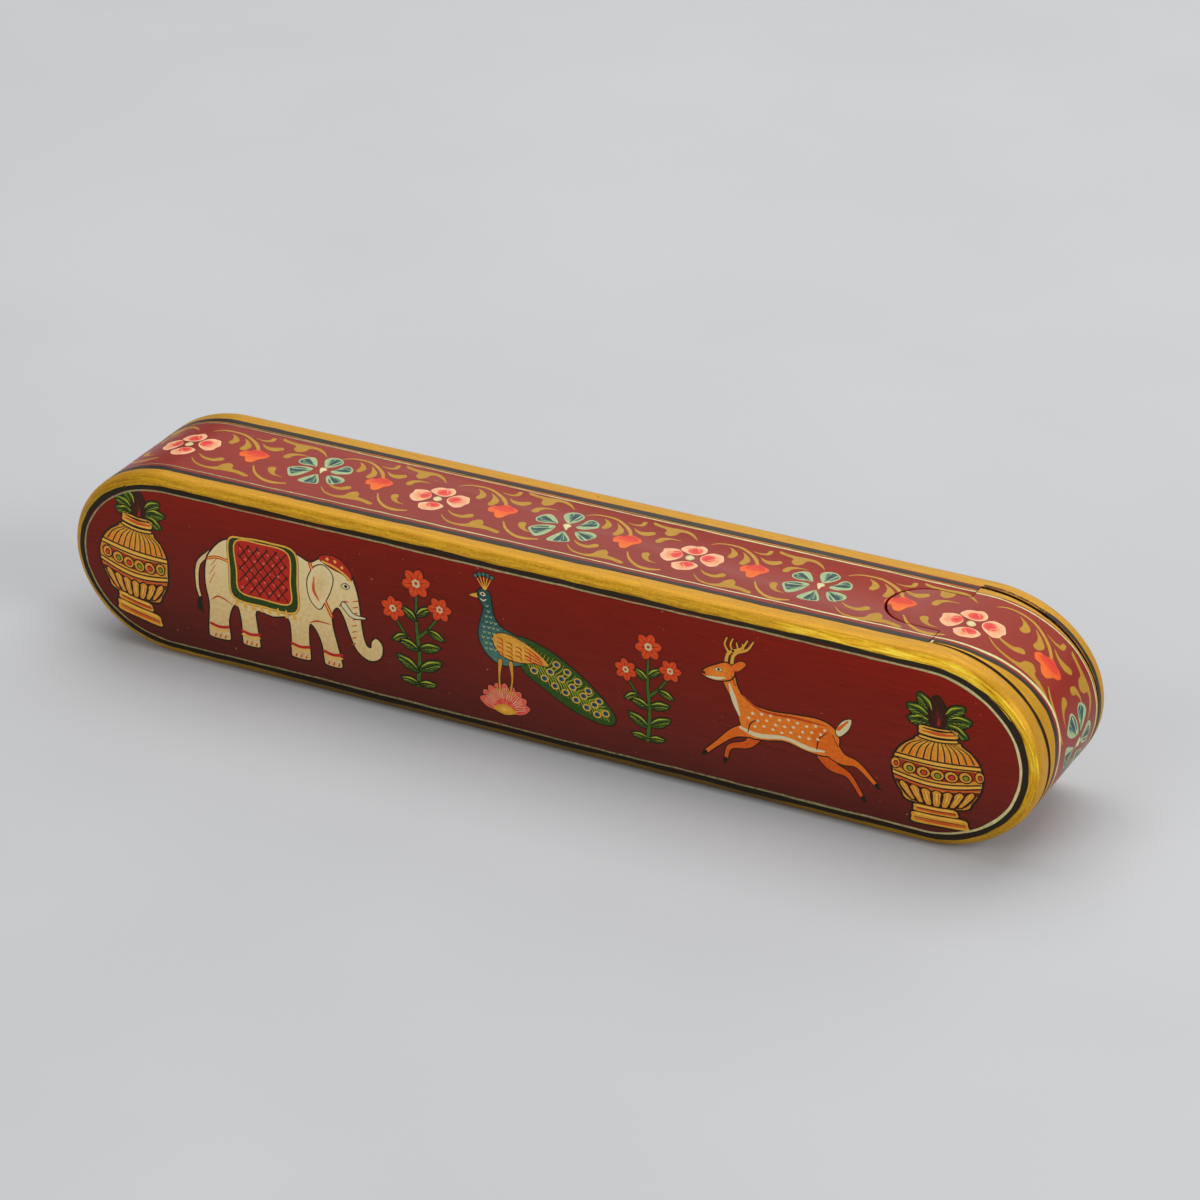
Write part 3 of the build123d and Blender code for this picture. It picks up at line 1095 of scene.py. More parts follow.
def laid(name, flat, surface, keep=None):
    """A closed mesh of a flat drawing on a surface, of the faces that pass the test."""
    work = bmesh.new()
    work.from_mesh(flat)
    if keep:
        gone = [face for face in work.faces if not keep(*face.calc_center_median().xy)]
        bmesh.ops.delete(work, geom=gone, context="FACES")
    shade = work.verts.layers.float["shade"]
    work.verts.index_update()
    corners = list(work.verts)
    points = [surface(c.co.x, c.co.y, GROUND + PAINT_BASE + c.co.z) for c in corners]
    points += [surface(c.co.x, c.co.y, ROOT) for c in corners]
    count = len(corners)
    faces = []
    for face in work.faces:
        ring = [corner.index for corner in face.verts][::-1 if face.normal.z < 0 else 1]
        faces += [ring, [index + count for index in reversed(ring)]]
    directed = {(a, b) for ring in faces[::2] for a, b in zip(ring, ring[1:] + ring[:1])}
    faces += [(b, a, a + count, b + count) for a, b in sorted(directed) if (b, a) not in directed]
    mesh = bpy.data.meshes.new(name)
    mesh.from_pydata([tuple(point * MM) for point in points], [], faces)
    set_shade(mesh, [corner[shade] for corner in corners] * 2)
    work.free()
    return mesh


def lay_on_face(title, art):
    """Lays every colour of a drawing on the front face."""
    for paint, shapes in art.shapes.items():
        name = f"{title}_{paint}"
        add_piece(name, laid(name, flat_mesh(name, shapes), on_face), paint, "case")

# %% [markdown]
# ## The floral band
#
# Pink flowers of four petals and blue-green ones of six take turns round the box. Between two flowers runs
# a sprig of gold: a stem that ends in an orange bud, with comma-shaped leaves on both sides of it, a lobed
# leaf along each border and a thin stem under the next flower. Each is drawn once, round its own origin.

# %% Flowers
def shrunk(points, scale, shift=(0, 0)):
    """A smaller copy of an outline inside it, about its own middle."""
    middle_x = sum(x for x, _ in points) / len(points)
    middle_y = sum(y for _, y in points) / len(points)
    return [(middle_x + (x - middle_x) * scale + shift[0], middle_y + (y - middle_y) * scale + shift[1])
            for x, y in points]


def pink_flower():
    """Four broad ragged petals with a rose blot near the heart, and a cream eye."""
    art = Painting()
    petals = [
        ([(-1.9, 0.8), (-2.8, 2.4), (-4.1, 3.1), (-5.6, 2.9), (-6.7, 2.4), (-6.6, 1), (-6.8, -0.4),
          (-6, -1.8), (-4.6, -2.8), (-3.2, -2.2), (-2.1, -0.7)], (-3.3, 0.7), (1.3, 1.7)),
        ([(0.2, 1.5), (-1.9, 2.2), (-3.2, 3.3), (-2.7, 4.7), (-1.5, 5.5), (-0.2, 5.5), (1.2, 5.9), (2.4, 4.9),
          (2.7, 3.3), (1.7, 1.9)], (0.2, 3.3), (1.7, 1.5)),
        ([(2.2, 1), (3, 2.5), (4.2, 3.4), (5.5, 3.3), (6.7, 2.9), (7.3, 1.6), (7.6, 0.4), (7, -0.7),
          (6.7, -1.9), (5.3, -2.6), (3.9, -1.9), (2.6, -0.6)], (4, 0.8), (1.6, 1.6)),
        ([(0.2, -1.8), (1.9, -2.2), (2.9, -3.2), (2.4, -4.5), (1.5, -5.5), (0.1, -5.9), (-1.2, -6),
          (-2.4, -5.3), (-2.8, -4.4), (-3, -3.4), (-1.5, -2.3)], (0.3, -3.1), (1.7, 1.2)),
    ]
    for petal, (x, y), (broad, tall) in petals:
        art.fill("peach", 2, petal, 0.9, 0.4)
        art.dot("rose", 3, (x, y), broad, tall / broad, 0.7, 0.1)
        reach = hypot(x, y)
        art.stroke("peach", 4, [(x + 0.9 * y / reach, y - 0.9 * x / reach), (x * 1.45, y * 1.45)],
                   (0.12, 0.4, 0.12), 1)
    art.fill(
        "cream", 5, [(-1, 0.2), (-0.3, 1.1), (0.7, 0.6), (1.1, -0.3), (0.3, -1.2), (-0.7, -0.8)], 0.3, 0.8)
    return art


def teal_flower():
    """Six petals, dark blue-green with pale green rims and streaks, and a cream eye."""
    art = Painting()
    petals = [
        [(0, 1.7), (-1.2, 3.2), (-2.1, 5.3), (-1.5, 6.8), (0.2, 7.4), (1.9, 6.8), (2.9, 5.4), (2.3, 3.6),
         (1.1, 2.1)],
        [(-2.3, 1.3), (-3.5, 3.6), (-5.1, 5.2), (-6.8, 4.6), (-8, 2.9), (-7.4, 1.3), (-5.6, 0.8),
         (-3.6, 1.1)],
        [(-2.6, -0.1), (-5, -0.1), (-7.4, -1.1), (-8.3, -2.4), (-7.5, -4), (-5.8, -6), (-4.1, -5),
         (-3, -3.1), (-2.5, -1.4)],
        [(0, -2.4), (-1.4, -4.2), (-2.7, -6.7), (-1.9, -7.6), (0.5, -7.5), (2.6, -6.9), (2.2, -5.3),
         (1.1, -3.6)],
        [(2.8, -2), (3.6, -4.2), (5.2, -5.8), (6.9, -5), (8.1, -3.1), (7, -1.7), (5, -1.3)],
        [(2.3, 0.2), (3.3, 2.2), (3.9, 3.9), (5, 4.6), (6.7, 3.6), (7.3, 1.4), (6.1, 0.4), (4.1, -0.4)],
    ]
    for index, petal in enumerate(petals):
        middle_x, middle_y = (sum(part) / len(petal) for part in zip(*petal))
        reach = hypot(middle_x, middle_y)
        out_x, out_y = middle_x / reach, middle_y / reach
        sideways = 0.35 if index % 2 else -0.35
        shift = (out_x * 0.35 - out_y * sideways, out_y * 0.35 + out_x * sideways)
        art.fill("mint", 2, petal, 0.75, 0.45)
        art.fill("teal", 3, shrunk(petal, 0.67, shift), 0.5, 0.25)
        for along, side, width in ((0.55, -1.4, 0.5), (0.75, 0.5, 0.4), (0.35, 1.2, 0.35)):
            start = (middle_x * (1 + along * 0.5) - out_y * side, middle_y * (1 + along * 0.5) + out_x * side)
            stop = (middle_x * 0.62 - out_y * side * 0.3, middle_y * 0.62 + out_x * side * 0.3)
            art.stroke("mint", 4, [start, stop], (width, width, 0.15), 0.85 if side < 0 else 0.35)
        art.stroke("teal", 5, [(middle_x * 1.15, middle_y * 1.15), (middle_x * 0.5, middle_y * 0.5)],
                   (0.9, 0.6, 0.12), 0.1)
    art.fill(
        "cream", 5, [(-0.9, 0.9), (0.2, 1.4), (1.1, 0.5), (0.6, -0.4), (0.5, -1.7), (-0.3, -0.6)], 0.4, 0.8)
    return art


# %% The sprig between two flowers
PITCH = 32  # the distance between flowers for which the sprig is drawn


def sprig(lift=0):
    """The gold scroll work between flowers at (0, 0) and (PITCH, 0). Its lower strokes can be lifted."""
    art = Painting()
    art.stroke(
        "gold", 0, [(1.4, 7.2), (3, 8.4), (5.4, 8.9), (8.6, 8.6), (11.8, 6.8), (13.9, 4.9), (15.3, 2.9)],
        (0.2, 0.45, 0.55, 0.7, 0.9, 0.7), 0.6)
    commas = [
        ([(6, 7.7), (7.3, 6.7), (8.2, 5.2), (8, 4)], (0.12, 0.8, 1.7, 1.5)),
        ([(9.6, 7), (11, 5.6), (12, 3.8), (11.8, 2.3)], (0.12, 0.8, 1.8, 1.6)),
        ([(11.6, 8.3), (13.6, 8), (15.1, 8.6), (15.2, 9.8)], (0.12, 0.5, 1, 1.1)),
        ([(14.3, 6.4), (16, 5.3), (17.9, 5.2), (19.1, 6)], (0.12, 0.9, 1.8, 1.5)),
        ([(26.6, 5.6), (24.2, 5.5), (22.5, 4.6), (22.1, 3.4)], (0.12, 0.6, 1.4, 1.7)),
        ([(4.6, -4.2 + lift), (6.6, -5.5 + lift), (8.9, -5.7 + lift), (10.3, -4.6 + lift)],
         (0.12, 0.7, 1.2, 1.7)),
        ([(26.4, -6.1 + lift), (24.4, -5.8 + lift), (23, -4.7 + lift), (22.4, -3.4 + lift)],
         (0.12, 0.6, 1.3, 1.9)),
    ]
    for points, widths in commas:
        art.stroke("gold", 0, points, widths, 0.5, 7)
    upper_leaf = [(17, 11), (18.9, 10.5), (21.4, 10.3), (24, 10.5), (26.3, 10.3), (28.2, 9.2), (29.8, 7.3),
                  (27.9, 8.6), (26, 9.4), (24.5, 9.1), (24.2, 7.6), (22.9, 6.5), (21.5, 7.4), (21.1, 9),
                  (19.2, 9.5), (17.4, 10)]
    lower_leaf = [
        (4.2, -6.5), (6.4, -8.4), (9.2, -9.1), (11.4, -8.3), (11.9, -6.6), (13.2, -5.4), (14.5, -6.3),
        (14.9, -7.5), (16.8, -7.9), (19.6, -8.8), (19.2, -9.7), (16.6, -9.1), (13.6, -9.3), (10.6, -9.8),
        (7.4, -9.4), (5.3, -8)]
    art.fill("gold", 1, upper_leaf, 0.45)
    art.fill("gold", 1, [(x, y + lift) for x, y in lower_leaf], 0.45)
    art.stroke(
        "gold", 0, [(18.1, -4), (20, -6.7 + lift / 2), (22.9, -8.8 + lift), (25.8, -9.3 + lift),
        (28.6, -8.5 + lift)], (0.3, 0.6, 0.8, 1, 0.5), 0.6)
    bud = [(12.2, 0.4), (12.9, 1.8), (13.9, 2), (14.6, 2.9), (15.7, 3.3), (16.8, 2.8), (17.7, 2.5),
           (18.8, 1.7), (18.6, 0.4), (17.7, -0.6), (17.3, -1.6), (16.7, -2.8), (15.6, -2.9), (14.8, -2),
           (14.2, -1), (13, -1.1)]
    art.fill("orange", 2, bud, 0.45, foot=0.95)
    art.fill(
        "orange", 3, [(13.2, 0.9), (14.2, 2.4), (15.7, 2.8), (17.2, 2.4), (17.9, 1.2), (16.3, 0.2),
        (14.6, 0.3)], 0, foot=0.4)
    return art


# %% [markdown]
# A Geometry Nodes tree sets the drawings out along the band. Its points carry the place of every flower
# and how far each sprig must stretch to reach the next one. A little turn and growth, different at each
# place but always the same for one seed, keeps the row from looking stamped.

# %% A tree that sets a drawing out along the band
def make_row_tree():
    tree = bpy.data.node_groups.new("set_out_along_band", "GeometryNodeTree")
    sockets = {}
    for label, kind in (
            ("Places", "Geometry"), ("Drawing", "Object"), ("Largest Turn", "Float"),
            ("Smallest Size", "Float"), ("Largest Size", "Float"), ("Seed", "Int"), ("Paint", "Material")):
        socket = tree.interface.new_socket(label, in_out="INPUT", socket_type="NodeSocket" + kind)
        sockets[label] = socket.identifier
    tree.interface.new_socket("Row", in_out="OUTPUT", socket_type="NodeSocketGeometry")
    given = tree.nodes.new("NodeGroupInput").outputs

    def any_between(low, high):
        inputs = [(2, low), (3, high), ("Seed", given["Seed"])]
        return add_node(tree, "FunctionNodeRandomValue", inputs, data_type="FLOAT").outputs[1]

    drawing = add_node(tree, "GeometryNodeObjectInfo", [("Object", given["Drawing"])])
    largest = given["Largest Turn"]
    turn = any_between(calculated(tree, "MULTIPLY", largest, -1.0), largest)
    turning = add_node(tree, "ShaderNodeCombineXYZ", [("Z", turn)])
    size = any_between(given["Smallest Size"], given["Largest Size"])
    stretch = add_node(
        tree, "GeometryNodeInputNamedAttribute", [("Name", "stretch")], data_type="FLOAT_VECTOR")
    grown = add_node(tree, "ShaderNodeVectorMath", [(0, stretch.outputs["Attribute"]), ("Scale", size)],
                     operation="SCALE")
    laid_out = add_node(
        tree, "GeometryNodeInstanceOnPoints", [("Points", given["Places"]),
        ("Instance", drawing.outputs["Geometry"]), ("Rotation", turning.outputs[0]),
        ("Scale", grown.outputs[0])])
    real = add_node(tree, "GeometryNodeRealizeInstances", [(0, laid_out.outputs[0])])
    painted = add_node(
        tree, "GeometryNodeSetMaterial", [("Geometry", real.outputs[0]), ("Material", given["Paint"])])
    tree.links.new(painted.outputs[0], tree.nodes.new("NodeGroupOutput").inputs[0])
    return tree, sockets


row_tree, row_inputs = make_row_tree()
print("tree inputs:", ", ".join(row_inputs))


def row_of(name, flat, places, paint, turn, sizes, seed):
    """A flat mesh of a drawing repeated at places given as (u, v, stretch along u)."""
    drawing = new_object(name + "_drawing", flat)
    points = bpy.data.meshes.new(name + "_places")
    points.from_pydata([(u, v, 0) for u, v, _ in places], [], [])
    stretch = points.attributes.new("stretch", "FLOAT_VECTOR", "POINT")
    stretch.data.foreach_set("vector", [part for _, _, along in places for part in (along, 1.0, 1.0)])
    row = new_object(name + "_row", points)
    modifier = row.modifiers.new("set out", "NODES")
    modifier.node_group = row_tree
    for label, value in (("Drawing", drawing), ("Largest Turn", radians(turn)), ("Smallest Size", sizes[0]),
                         ("Largest Size", sizes[1]), ("Seed", seed), ("Paint", paint)):
        modifier[row_inputs[label]] = value
    result = bpy.data.meshes.new_from_object(row.evaluated_get(bpy.context.evaluated_depsgraph_get()))
    for holder in (row, drawing):
        bpy.data.objects.remove(holder)
    return result


# %% [markdown]
# The seven flowers along the top and the one on the right end have their own measured places; the
# bottom and the left end carry on in the same way. Then the drawing is cut along the tray's shoulder and
# round its tongue. What lies on the tray rides with it, and what would hang over the seam falls away.

# %% Places of the flowers
TOP_FLOWERS = [(-97.9, -1.3), (-63.1, -0.1), (-32.5, -1.1), (-0.3, -0.6), (30.7, -1.8), (61.3, -1.2),
               (96.8, -2.2)]
RIGHT_FLOWER = (135.0, 2.6)
RIGHT_STRETCH = 1.12  # the flower on the right end is drawn a little longer
LEFT_FLOWER = (ROUND - 132.9, -0.5)
BOTTOM_STEP = 32.6
TONGUE_SPRIG = 5
TONGUE_SPRIG_LATE = 2.3  # the sprig at the tongue starts late, so that its bud lies on the tongue

bottom_flowers = [(ROUND / 2 + BOTTOM_STEP * step, 0.6 * sin(2.4 * step) - 0.8) for step in range(-3, 4)]
flowers = TOP_FLOWERS + [RIGHT_FLOWER] + bottom_flowers + [LEFT_FLOWER]
sprigs = []
for index, (u, v) in enumerate(flowers):
    ahead_u, ahead_v = flowers[(index + 1) % len(flowers)]
    late = TONGUE_SPRIG_LATE if index == TONGUE_SPRIG else 0.0
    gap = (ahead_u - u - late) % ROUND
    sprigs.append((u + late, (v + ahead_v) / 2 + 0.1, gap / PITCH))
print(len(flowers), "flowers, sprigs stretched by", [round(stretch, 2) for _, _, stretch in sprigs])

# %% Cutting the drawing at the tray's seam
TONGUE_SIDES = 14


def folded(u):
    """The same place counted on the top: the bottom is its mirror image about the right end."""
    u = (u + ROUND / 2) % ROUND - ROUND / 2
    if u < -ROUND / 2 + 2 * STRAIGHT:
        u += ROUND
    return 2 * END_MIDDLE - u if u > END_MIDDLE else u


def in_strip(u, v, tip_x, radius):
    """Whether a place lies in a strip with a round tip that ends at the shoulder."""
    reach = hypot(u - tip_x - radius, v) if u < tip_x + radius else abs(v)
    return reach < radius


def on_tray(u, v):
    place = folded(u)
    return place > SHOULDER_X or in_strip(place, v, TONGUE_TIP_X, TONGUE_RADIUS)


def on_case(u, v):
    place = folded(u)
    return place < RAIL_END_X and not in_strip(place, v, NOTCH_TIP_X, NOTCH_RADIUS)


def cut_at_seam(work):
    """Cuts a flat drawing along the shoulder and round the tongue and its notch, top and bottom."""
    for mirror in (1, -1):
        def place(u):
            return u if mirror > 0 else 2 * END_MIDDLE - u

        def near():
            return [face for face in work.faces
                    if NOTCH_TIP_X - 1 < place(face.calc_center_median().x) < STRAIGHT + 8]

        for u in (RAIL_END_X, SHOULDER_X):
            cut_across(work, near(), place(u))
        for tip_x, radius in ((TONGUE_TIP_X, TONGUE_RADIUS), (NOTCH_TIP_X, NOTCH_RADIUS)):
            centre = tip_x + radius
            for side in range(TONGUE_SIDES + 1):
                turn = pi / 2 + pi * side / TONGUE_SIDES
                u, v = centre + radius * cos(turn), radius * sin(turn)
                cut_across(work, near(), place(u), (mirror * cos(turn), sin(turn)), v)


BEND_STEP = 1.0
BEND_MARGIN = 12.0


def cut_to_bend(work):
    """Cuts a flat drawing across every millimetre of the rounded ends, so that it can bend with them."""
    for start in (-STRAIGHT - END_LENGTH, STRAIGHT, ROUND - STRAIGHT - END_LENGTH):
        faces = {face for face in work.faces
                 if start - BEND_MARGIN < face.calc_center_median().x < start + END_LENGTH + BEND_MARGIN}
        for step in range(int(END_LENGTH / BEND_STEP) + 1):
            u = start + BEND_STEP * step
            reaches = [(face, [corner.co.x for corner in face.verts]) for face in faces if face.is_valid]
            crossing = [face for face, across in reaches if min(across) < u - 1e-4 and max(across) > u + 1e-4]
            faces = {face for face, across in reaches if max(across) > u}
            if crossing:
                faces |= set(cut_across(work, crossing, u))


stretched_flowers = [(u, v, RIGHT_STRETCH if (u, v) == RIGHT_FLOWER else 1.0) for u, v in flowers]
BAND_ROWS = [  # the end sprigs all lie on the tray's end block
    ("pink_flowers", pink_flower(), stretched_flowers[0::2], 12, (0.92, 1.0), 3),
    ("teal_flowers", teal_flower(), stretched_flowers[1::2], 12, (0.88, 0.96), 5),
    ("sprigs", sprig(), sprigs[:6] + sprigs[8:], 1.5, (0.99, 1.01), 8),
    ("end_sprigs", sprig(2.2), sprigs[6:8], 1.5, (0.99, 1.01), 8),
]
for title, art, places, turn, sizes, seed in BAND_ROWS:
    for paint, shapes in art.shapes.items():
        name = f"{title}_{paint}"
        row = row_of(name, flat_mesh(name, shapes), places, FINISHES[paint][0], turn, sizes, seed)
        work = bmesh.new()
        work.from_mesh(row)
        cut_at_seam(work)
        cut_to_bend(work)
        work.to_mesh(row)
        work.free()
        for body, keep in (("case", on_case), ("tray", on_tray)):
            mesh = laid(f"{body}_{name}", row, on_band, keep)
            if len(mesh.polygons) > 0:
                add_piece(mesh.name, mesh, paint, body)

# %% [markdown]
# ## The vases
#
# A gold vase stands at each end of the face. Ribs run down its shoulder, a band of red and green jewels
# goes round it, broad tongues cover its lower part, and it stands on two planks. The lines across it sag,
# because its round body is seen a little from above. Both are one drawing; each is sheared and stretched
# as its own hand-drawn outline is.

# %% The vase
def sagging(half, height, sag, count=5):
    """The points of a line across the vase that sags in its middle."""
    return [(-half + 2 * half * step / (count - 1), height - sag * sin(pi * step / (count - 1)))
            for step in range(count)]


WIDEST = 9.05  # half the width of the vase's body in its middle
BODY_HALF = [(8.3, 3.7), (7.4, 4.8), (6, 6.5), (4.2, 7.9), (2.2, 8.7), (0, WIDEST), (-2.2, 8.95), (-4.6, 8.4),
             (-7, 7.2), (-9.3, 5.2)]
JEWEL_SPACING = 2.85


def half_width(height):
    """Half the width of the vase's body at a height."""
    heights, widths = zip(*BODY_HALF[::-1])
    return float(np.interp(height, heights, widths))


def swell(x):
    """1 in the middle of the vase, falling to 0 at its sides."""
    return cos(pi / 2 * x / WIDEST)


def collar(art):
    """The neck ring, and the collar with its dark mouth."""
    art.inked_stroke("ochre", 1, sagging(3.7, 8.5, 0.5), 0.5, 0.8, 0.7)
    art.inked_fill(
        "ochre", 2, [(-3.6, 11.4), (0, 11.1), (3.6, 11.4), (3.9, 10.4), (3.6, 9.3), (0, 8.9), (-3.6, 9.3),
        (-3.9, 10.4)], 0.6, ink=0.9)
    art.stroke("rust", 4, sagging(3.3, 10.1, 0.35), (0.3, 0.9, 0.4), 0.8)
    art.stroke("black", 5, sagging(3.2, 10.9, 0.35), (0.24, 0.55, 0.24))
    art.stroke("ochre", 5, sagging(3.3, 9.5, 0.35), 0.25, 1)


def ribs(art):
    """Gold ribs, orange at their lower ends, with a thin dark line between two."""
    for rib in range(-5, 6):
        share = rib / 5.5
        top_x, low_x = 3.5 * share, half_width(3.2) * share * 0.98
        low_y = 3.4 - 0.9 * cos(pi / 2 * share)
        middle = ((top_x + low_x) / 2 + 0.8 * share, (7.6 + low_y) / 2 + 0.4)
        art.stroke("fur", 2, [(middle[0] + 0.55, middle[1] + 0.2), (low_x + 0.6, low_y)], (0.1, 0.7), 0.7)
        art.stroke("ochre", 3, [(top_x + 0.3, 7.2), (middle[0] + 0.45, middle[1] + 0.3)], (0.1, 0.4, 0.1), 1)
        art.stroke("maroon", 4, [(top_x, 7.7), middle, (low_x, low_y)], (0.14, 0.26, 0.32), 0.4)


def jewels(art, count):
    """Round red and green stones in thick gold rings on a rust red ground."""
    art.stroke("rust", 2, sagging(half_width(0) - 1.6, 0.2, 1.3, 7), (2.4, 3.3, 3.3, 3.3, 2.4), 0.15)
    for jewel in range(count):
        x = JEWEL_SPACING * (jewel - (count - 1) / 2)
        narrow = 1 - 0.45 * (x / WIDEST) ** 4
        spot = (x, 0.3 - 1.5 * swell(x))
        art.dot("black", 3, spot, 1.66 * narrow, 1 / narrow, 0.3)
        art.dot("ochre", 4, spot, 1.34 * narrow, 1 / narrow, 0.35, 0.9)
        art.dot("maroon", 5, (x + 0.1, spot[1] - 0.1), 0.82 * narrow, 1 / narrow, 0.3)
        art.dot("red" if jewel % 2 == 0 else "lime", 6, (x + 0.1, spot[1] - 0.15), 0.56 * narrow, 1 / narrow,
                0.9 if jewel % 2 == 0 else 0)


def tongues(art):
    """Seven broad tongues, light in their middle, round the lower body."""
    art.fill(
        "maroon", 2, [(-8.3, -3.9), (0, -5.6), (8.3, -3.9), (7.9, -5.4), (6.9, -7.3), (4.9, -9.1), (0, -9.9),
        (-4.9, -9.1), (-6.9, -7.3), (-7.9, -5.4)], 0.9)
    for tongue in range(-3, 4):
        top_x, low_x = 2.4 * tongue, 1.62 * tongue
        narrow = 0.62 + 0.38 * swell(top_x)
        top_y, low_y = -3.6 - 1.7 * swell(top_x), -8.3 - 1.2 * swell(top_x)
        wide_y = 0.72 * top_y + 0.28 * low_y
        wide_x, low_half = 0.8 * top_x + 0.2 * low_x, 0.66 * narrow
        outline = [(low_x - low_half, low_y), (wide_x - 1.25 * narrow, wide_y), (top_x, top_y),
                   (wide_x + 1.25 * narrow, wide_y), (low_x + low_half, low_y), (low_x, low_y - 0.3)]
        art.fill("ochre", 3, outline, 0.3, 0.9)
        art.stroke("maroon", 4, outline, 0.36, 0.2, closed=True)
        for side in (-0.4, 0.4):
            art.stroke(
                "rust", 5, [(wide_x + side * narrow, wide_y), (low_x + side * 0.6 * narrow, low_y + 0.5)],
                (0.12, 0.24, 0.1), 0.3)
        art.stroke("ochre", 6, [
            (wide_x, wide_y + 0.3), (0.5 * (wide_x + low_x), 0.5 * (wide_y + low_y))], (0.1, 0.34, 0.1), 1)


def vase(art, jewel_count):
    """A round gold vase, ribbed above and with tongues below, and a band of jewels between."""
    right = [(half, height) for height, half in BODY_HALF]
    art.inked_fill("ochre", 0, right + [(-x, y) for x, y in right[::-1]], 0.35, 0.75, ink=1.05)
    collar(art)
    ribs(art)
    for height, sag, paint, width, level in (
            (2.95, 0.6, "black", 0.36, 5), (2.4, 0.65, "ochre", 0.5, 5), (1.85, 0.7, "black", 0.34, 5),
            (-1.8, 1.6, "black", 0.34, 5), (-2.35, 1.7, "ochre", 0.5, 5), (-2.9, 1.7, "black", 0.38, 5),
            (-3.35, 1.75, "rust", 0.5, 4)):
        art.stroke(paint, level, sagging(half_width(height) - 0.1, height, sag, 7), width, 0.85)
    jewels(art, jewel_count)
    tongues(art)


FOOT_TIERS = [(-4.3, 4.1, -9.9, -11.7), (-4.7, 6.2, -12.1, -14.7)]  # left, right, top and bottom


def foot(art):
    """The two planks that the vase stands on."""
    for left, right, high, low in FOOT_TIERS:
        middle, third = (high + low) / 2, (high + 2 * low) / 3
        plank = [(left, high), (0, high - 0.15), (right - 0.6, high), (right + 0.25, middle), (right, low),
                 (0, low - 0.15), (left, low), (left - 0.3, middle)]
        art.inked_fill("ochre", 0, plank, 0.5, ink=0.9)
        art.stroke(
            "rust", 2, [(left + 0.3, third), (0, third - 0.15), (right - 0.3, third)], (0.3, 0.7, 0.5), 0.75)
        art.stroke("maroon", 3, [(left + 0.2, middle), (0, middle - 0.1), (right - 0.2, middle)], 0.2, 0.3)
        art.stroke(
            "ochre", 4, [(left + 0.3, high - 0.4), (0, high - 0.55), (right - 0.7, high - 0.4)], 0.34, 1)


POSY_LEAVES = [((-1.3, 0.5), 174, 5, 2.7), ((-1.7, 1.5), 152, 5.2, 2.8), ((-1.3, 2.6), 120, 4.9, 2.7),
               ((1.6, 2.2), 36, 5.2, 2.7), ((1.9, 1.5), 8, 5.4, 2.8), ((1.5, 0.6), -22, 5.2, 2.7)]


def leaf(art, level, root, angle, length, width):
    """A pointed leaf, dark green with a yellow light along one side."""
    tip = (root[0] + length * cos(radians(angle)), root[1] + length * sin(radians(angle)))
    across = (-sin(radians(angle)) * width / 2, cos(radians(angle)) * width / 2)
    if across[1] < 0:
        across = (-across[0], -across[1])

    def spot(along, side):
        return (root[0] + (tip[0] - root[0]) * along + across[0] * side,
                root[1] + (tip[1] - root[1]) * along + across[1] * side)

    art.inked_fill("green", level, [
        root, spot(0.3, 0.85), spot(0.62, 0.95), tip, spot(0.62, -0.95), spot(0.3, -0.85)], 0.6, 0.3)
    art.stroke(
        "lime", level + 2, [spot(0.14, 0.45), spot(0.5, 0.72), spot(0.9, 0.15)], (0.12, 0.42, 0.1), 0.55)
    for start, stop in ((0.25, 0.5), (0.42, 0.68), (0.6, 0.84)):
        art.stroke("lime", level + 2, [spot(start, -0.1), spot(stop, -0.62)], (0.1, 0.24), 0.2)
    art.stroke("black", level + 3, [spot(0.05, 0), spot(0.85, 0.05)], (0.3, 0.14))
    art.stroke("black", level + 3, [spot(0.2, -0.35), spot(0.7, -0.6)], (0.2, 0.1))


def posy(art):
    """Six leaves and a dark bud in the mouth of the vase."""
    for root, angle, length, width in POSY_LEAVES:
        leaf(art, 1, root, angle, length, width)
    art.inked_fill(
        "wine", 2, [(-1.4, 0), (-2.2, 2), (-1.8, 4.2), (0, 6.7), (1.8, 4.4), (2.2, 2), (1.4, 0)], 0.3, 0.8)
    art.stroke("wine", 4, [(0.1, 3.4), (0.3, 1.2)], (0.4, 1.3, 0.5), 1)
    art.stroke("red", 5, [(0.2, 0.6), (0.4, 2)], (0.7, 0.2), 0)
    for start, stop in (((-1.3, 0.5), (-1.1, 3.4)), ((-0.6, 2.6), (-0.2, 5.6)), ((1.4, 0.5), (1.2, 3.2)),
                        ((0.8, 2.8), (0.3, 5.4))):
        art.stroke("black", 5, [
            start, ((start[0] + stop[0]) / 2 - 0.15, (start[1] + stop[1]) / 2), stop], (0.34, 0.14))


VASES = [  # jewels, middle, height, scales across and up, lean, fall, the foot's fall
    (6, -103.1, 0, 1, 1, 0.17, 0.115, 0.2),
    (7, 97.2, -3.9, 1.12, 0.9, 0, -0.075, -0.075),
]
POSIES = [(-101, 11.3, -4, 0.98), (97, 6.6, 3, 1.08)]  # the middle, height, turn and size of each
vases = Painting()
for count, centre, height, wide, tall, lean, fall, foot_fall in VASES:
    place = {"move": (centre, height), "scale": (wide, tall), "lean": lean}
    vases.put(fall=foot_fall, **place)
    foot(vases)
    vases.put(fall=fall, **place)
    vase(vases, count)
for mouth, height, angle, size in POSIES:
    vases.put(angle=angle, scale=(size, size), move=(mouth, height))
    posy(vases)
lay_on_face("vases", vases)

# %% [markdown]
# ## The picture between the vases
#
# The rest of the face carries a procession of common ornament: an elephant in festive cloth, two flowering
# plants, a peacock on a lotus and a leaping deer. Every figure has a black outline, two or three tones of
# one colour and fine strokes on top, in the same manner as the vases.

